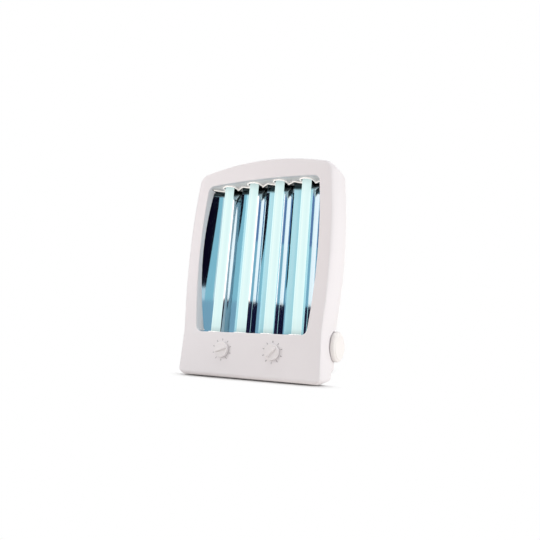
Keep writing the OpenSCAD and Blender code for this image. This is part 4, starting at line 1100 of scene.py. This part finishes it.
class LAMP_OT_stage(LampOperator, bpy.types.Operator):
    """Floor, world, lamps and the camera at the photograph's viewing angle"""
    bl_idname = "lamp.stage"
    bl_label = "Stage"

    # Studio cards: name, turn round the housing's leaning axis and rise along it, both in degrees, and light.
    # A third rise is the lower edge at the far end of the turn.
    CARDS = (("low left", (-95, -8), (-12, 6), (0.020, 0.012, 0.045)),
             ("teal", (-95, -48), (6, 15), (0.37, 0.60, 0.72)),
             ("blue", (-95, -48), (15, 24), (0.20, 0.28, 0.51)),
             ("pale", (-48, -42), (6, 24), (0.96, 1.0, 1.05)),
             ("bright", (-42, -8), (6, 24), (3.3, 2.0, 1.7)),
             ("light", (25, 37), (6, 24), (0.98, 1.0, 0.98)),
             ("low right", (25, 110), (-12, 6), (0.35, 0.52, 0.64)),
             ("right", (37, 62.5), (6, 24), (0.426, 0.71, 0.80)),
             ("dark corner", (51, 62.5), (20.5, 24, 8), (0.006, 0.003, 0.012)),
             ("dark right", (62.5, 110), (8, 24), (0.006, 0.003, 0.012)),
             ("right edge", (62.5, 110), (6, 8), (0.9, 0.95, 1.0)))

    # Soft lamps: name, place, size and power
    LAMPS = (("Key", (0.90, -0.04, 0.12), 0.4, 3.8),
             ("Fill", (-0.62, -0.68, 0.34), 0.6, 3.2),
             ("Back", (-0.50, 1.40, 0.80), 1.0, 6.0),
             ("Top", (0.0, 0.0, 1.50), 1.0, 6.6))

    # Camera fitted to the photograph: place from the housing's foot in metres, turn and pitch in degrees,
    # focal length and picture width in pixels
    EYE, TURN, PITCH = (0.4339, -0.7349, 0.1409), 27.71, 2.57
    FOCAL_PX, WIDTH_PX = 524.4, 540

    def execute(self, context):
        scene = context.scene
        h = Housing(scene)
        scene.view_settings.view_transform = "Standard"
        self.sky(scene)
        self.ground(scene)
        for lamp in self.LAMPS:
            self.lamp(scene, *lamp)
        for name, turns, rises, rgb in self.CARDS:
            self.card(scene, h, f"Card {name}", turns, rises, rgb)
        lens = bpy.data.cameras.new("Camera")
        lens.sensor_width = 36.0
        lens.lens = self.FOCAL_PX / self.WIDTH_PX * lens.sensor_width
        lens.clip_start, lens.clip_end = 0.01, 50
        eye = bpy.data.objects.new("Camera", lens)
        scene.collection.objects.link(eye)
        eye.location = Vector(self.EYE) + Vector((0, h.row_y, 0))
        az, pitch = math.radians(self.TURN), math.radians(self.PITCH)
        ahead = Vector((-math.sin(az) * math.cos(pitch), math.cos(az) * math.cos(pitch), math.sin(pitch)))
        eye.rotation_euler = ahead.to_track_quat("-Z", "Y").to_euler()
        scene.camera = eye
        return {"FINISHED"}

    @staticmethod
    def seen(tap):
        """One for rays from the camera, from gloss and through glass, otherwise nothing."""
        path = tap.node("ShaderNodeLightPath")
        outs = path.socket.node.outputs
        straight = Tap(tap.tree, outs["Is Camera Ray"]) + Tap(tap.tree, outs["Is Glossy Ray"])
        return straight + Tap(tap.tree, outs["Is Transmission Ray"])

    def sky(self, scene):
        """White world for what the camera and reflections see, dimmer as a light on matt surfaces."""
        world = bpy.data.worlds.new("Studio")
        scene.world = world
        world.use_nodes = True
        tree = world.node_tree
        back = next(n for n in tree.nodes if n.type == "BACKGROUND")
        tap = Tap(tree, back.outputs[0])
        back.inputs["Color"].default_value = (1, 1, 1, 1)
        white = self.seen(tap)
        level = white.node("ShaderNodeClamp", Value=white * 0.45 + 0.55)
        tree.links.new(level.socket, back.inputs["Strength"])

    def ground(self, scene):
        """Pale floor that keeps the shadow and fades into the white of the world away from the lamp; matt surfaces
        see it as a painted bounce glow, black under the housing as a painted shadow.
        """
        made, coords, join = start_finish("Pale floor", Roughness=0.9)
        tree = made.node_tree
        mottle = coords.noise(3.0, 2.0)
        join("Base Color", mottle.tint((0.84, 0.84, 0.84), (0.86, 0.86, 0.86)))
        x, y = (coords.node("ShaderNodeSeparateXYZ", out=i, Vector=coords) for i in (0, 1))
        base_front, per_front, per_back = 0.055, -25.0, 5.0
        behind = y + base_front
        depth = coords.maths("MAXIMUM", behind * per_front, behind * per_back)

        def ramp(value, low, high):
            """A soft step from nothing at low to one at high."""
            return coords.node("ShaderNodeMapRange", {"clamp": True, "interpolation_type": "SMOOTHSTEP"},
                               Value=value, From_Min=low, From_Max=high)

        # The mask is a rounded box: a high power of the distance across and the square of the depth
        side = x * (ramp(y, -0.065, -0.045) * 3.2 + 6.0)
        side = side * side
        side = side * side
        away = coords.maths("SQRT", side * side + depth * depth)

        def light(*rgb):
            """An even glow."""
            return coords.node("ShaderNodeEmission", Color=(*rgb, 1), Strength=1.0)

        def mixed(factor, one, other):
            """One shader where the factor is nothing, the other where it is one."""
            return coords.node("ShaderNodeMixShader", i0=factor, i1=one, i2=other)

        shader = next(n for n in tree.nodes if n.type == "BSDF_PRINCIPLED")
        out = next(n for n in tree.nodes if n.type == "OUTPUT_MATERIAL")
        # painted light: the bounce glow is brighter towards the right, as if the key lit the floor there, and cut
        # to black under the housing as a painted shadow
        bounce = mixed(ramp(x, -0.12, 0.12), light(0.57, 0.535, 0.51), light(0.82, 0.77, 0.73))
        bounce = mixed(ramp(away, 0.38, 0.62), light(0.0, 0.0, 0.0), bounce)
        near = mixed(ramp(away, 0.45, 1.0), Tap(tree, shader.outputs[0]), light(1, 1, 1))
        tree.links.new(mixed(self.seen(coords), bounce, near).socket, out.inputs["Surface"])
        mesh = bpy.data.meshes.new("Floor")
        far = 30.0
        mesh.from_pydata([(-far, -far, 0), (far, -far, 0), (far, far, 0), (-far, far, 0)], [], [(0, 1, 2, 3)])
        mesh.materials.append(made)
        floor = bpy.data.objects.new("Floor", mesh)
        scene.collection.objects.link(floor)

    @staticmethod
    def lamp(scene, name, place, size, power):
        """A square soft light that points at the lamp's middle."""
        light = bpy.data.lights.new(name, "AREA")
        light.size = size
        light.energy = power
        lamp = bpy.data.objects.new(name, light)
        lamp.location = place
        middle = Vector((0, 0, 0.18))
        aim = middle - Vector(place)
        lamp.rotation_euler = aim.to_track_quat("-Z", "Y").to_euler()
        lamp.visible_glossy = False
        scene.collection.objects.link(lamp)

    @staticmethod
    def card(scene, h, name, turns, rises, rgb):
        """A card that only reflections show: a patch of a wide sphere whose axis leans with the housing."""
        top = max(rgb)
        made, coords, join = start_finish(name, Base_Color=(0, 0, 0, 1), Roughness=1.0,
                                          Specular_IOR_Level=0.0, Emission_Strength=top)
        join("Emission Color", coords.noise(0.8, 2.0).tint(shaded(rgb, 0.85 / top), shaded(rgb, 1.0 / top)))
        columns, rows, centre = 25, 13, (0, 0, 0.2)
        near, over = np.meshgrid(np.linspace(0, 1, columns), np.linspace(0, 1, rows), indexing="ij")
        slanted = len(rises) > 2
        edge = rises[0] + (rises[-1] - rises[0]) * near if slanted else rises[0]
        turn = np.radians(turns[0] + (turns[1] - turns[0]) * near)
        rise = np.radians(edge + (rises[1] - edge) * over)
        far = 2.4 if slanted else 2.5
        ahead, along = np.cos(turn) * np.cos(rise), np.sin(rise)
        points = far * np.stack([np.sin(turn) * np.cos(rise), along * h.sin - ahead * h.cos,
                                 along * h.cos + ahead * h.sin], -1)
        mesh = bpy.data.meshes.new(name)
        mesh.from_pydata((points + centre).reshape(-1, 3).tolist(), [],
                         grid_faces(columns, rows, False, False).tolist())
        mesh.materials.append(made)
        card = bpy.data.objects.new(name, mesh)
        for ray in ("camera", "diffuse", "transmission", "volume_scatter", "shadow"):
            setattr(card, f"visible_{ray}", False)
        scene.collection.objects.link(card)


STEPS = (LAMP_OT_finishes, LAMP_OT_front, LAMP_OT_back, LAMP_OT_light, LAMP_OT_end_walls, LAMP_OT_dials,
         LAMP_OT_clamps, LAMP_OT_stand, LAMP_OT_small, LAMP_OT_stage)


class LAMP_PT_panel(bpy.types.Panel):
    """Sizes, finishes and building steps of the tanning lamp"""
    bl_idname = "LAMP_PT_panel"
    bl_label = "Tanning lamp"
    bl_space_type = "VIEW_3D"
    bl_region_type = "UI"
    bl_category = "Tanning lamp"

    def draw(self, context):
        column = self.layout.column(align=True)
        for step in STEPS:
            column.operator(step.bl_idname)
        for name, group in GROUPS.items():
            box = self.layout.box()
            for key in group.__annotations__:
                box.prop(getattr(context.scene, name), key)


def register():
    for group in GROUPS.values():
        bpy.utils.register_class(group)
    for name, group in GROUPS.items():
        setattr(bpy.types.Scene, name, bpy.props.PointerProperty(type=group))
    for step in (*STEPS, LAMP_PT_panel):
        bpy.utils.register_class(step)


def unregister():
    for step in (LAMP_PT_panel, *reversed(STEPS)):
        bpy.utils.unregister_class(step)
    for name in GROUPS:
        delattr(bpy.types.Scene, name)
    for group in reversed(GROUPS.values()):
        bpy.utils.unregister_class(group)


def main():
    register()
    for step in STEPS:
        space, name = step.bl_idname.split(".")
        getattr(getattr(bpy.ops, space), name)()


if __name__ == "__main__":
    main()
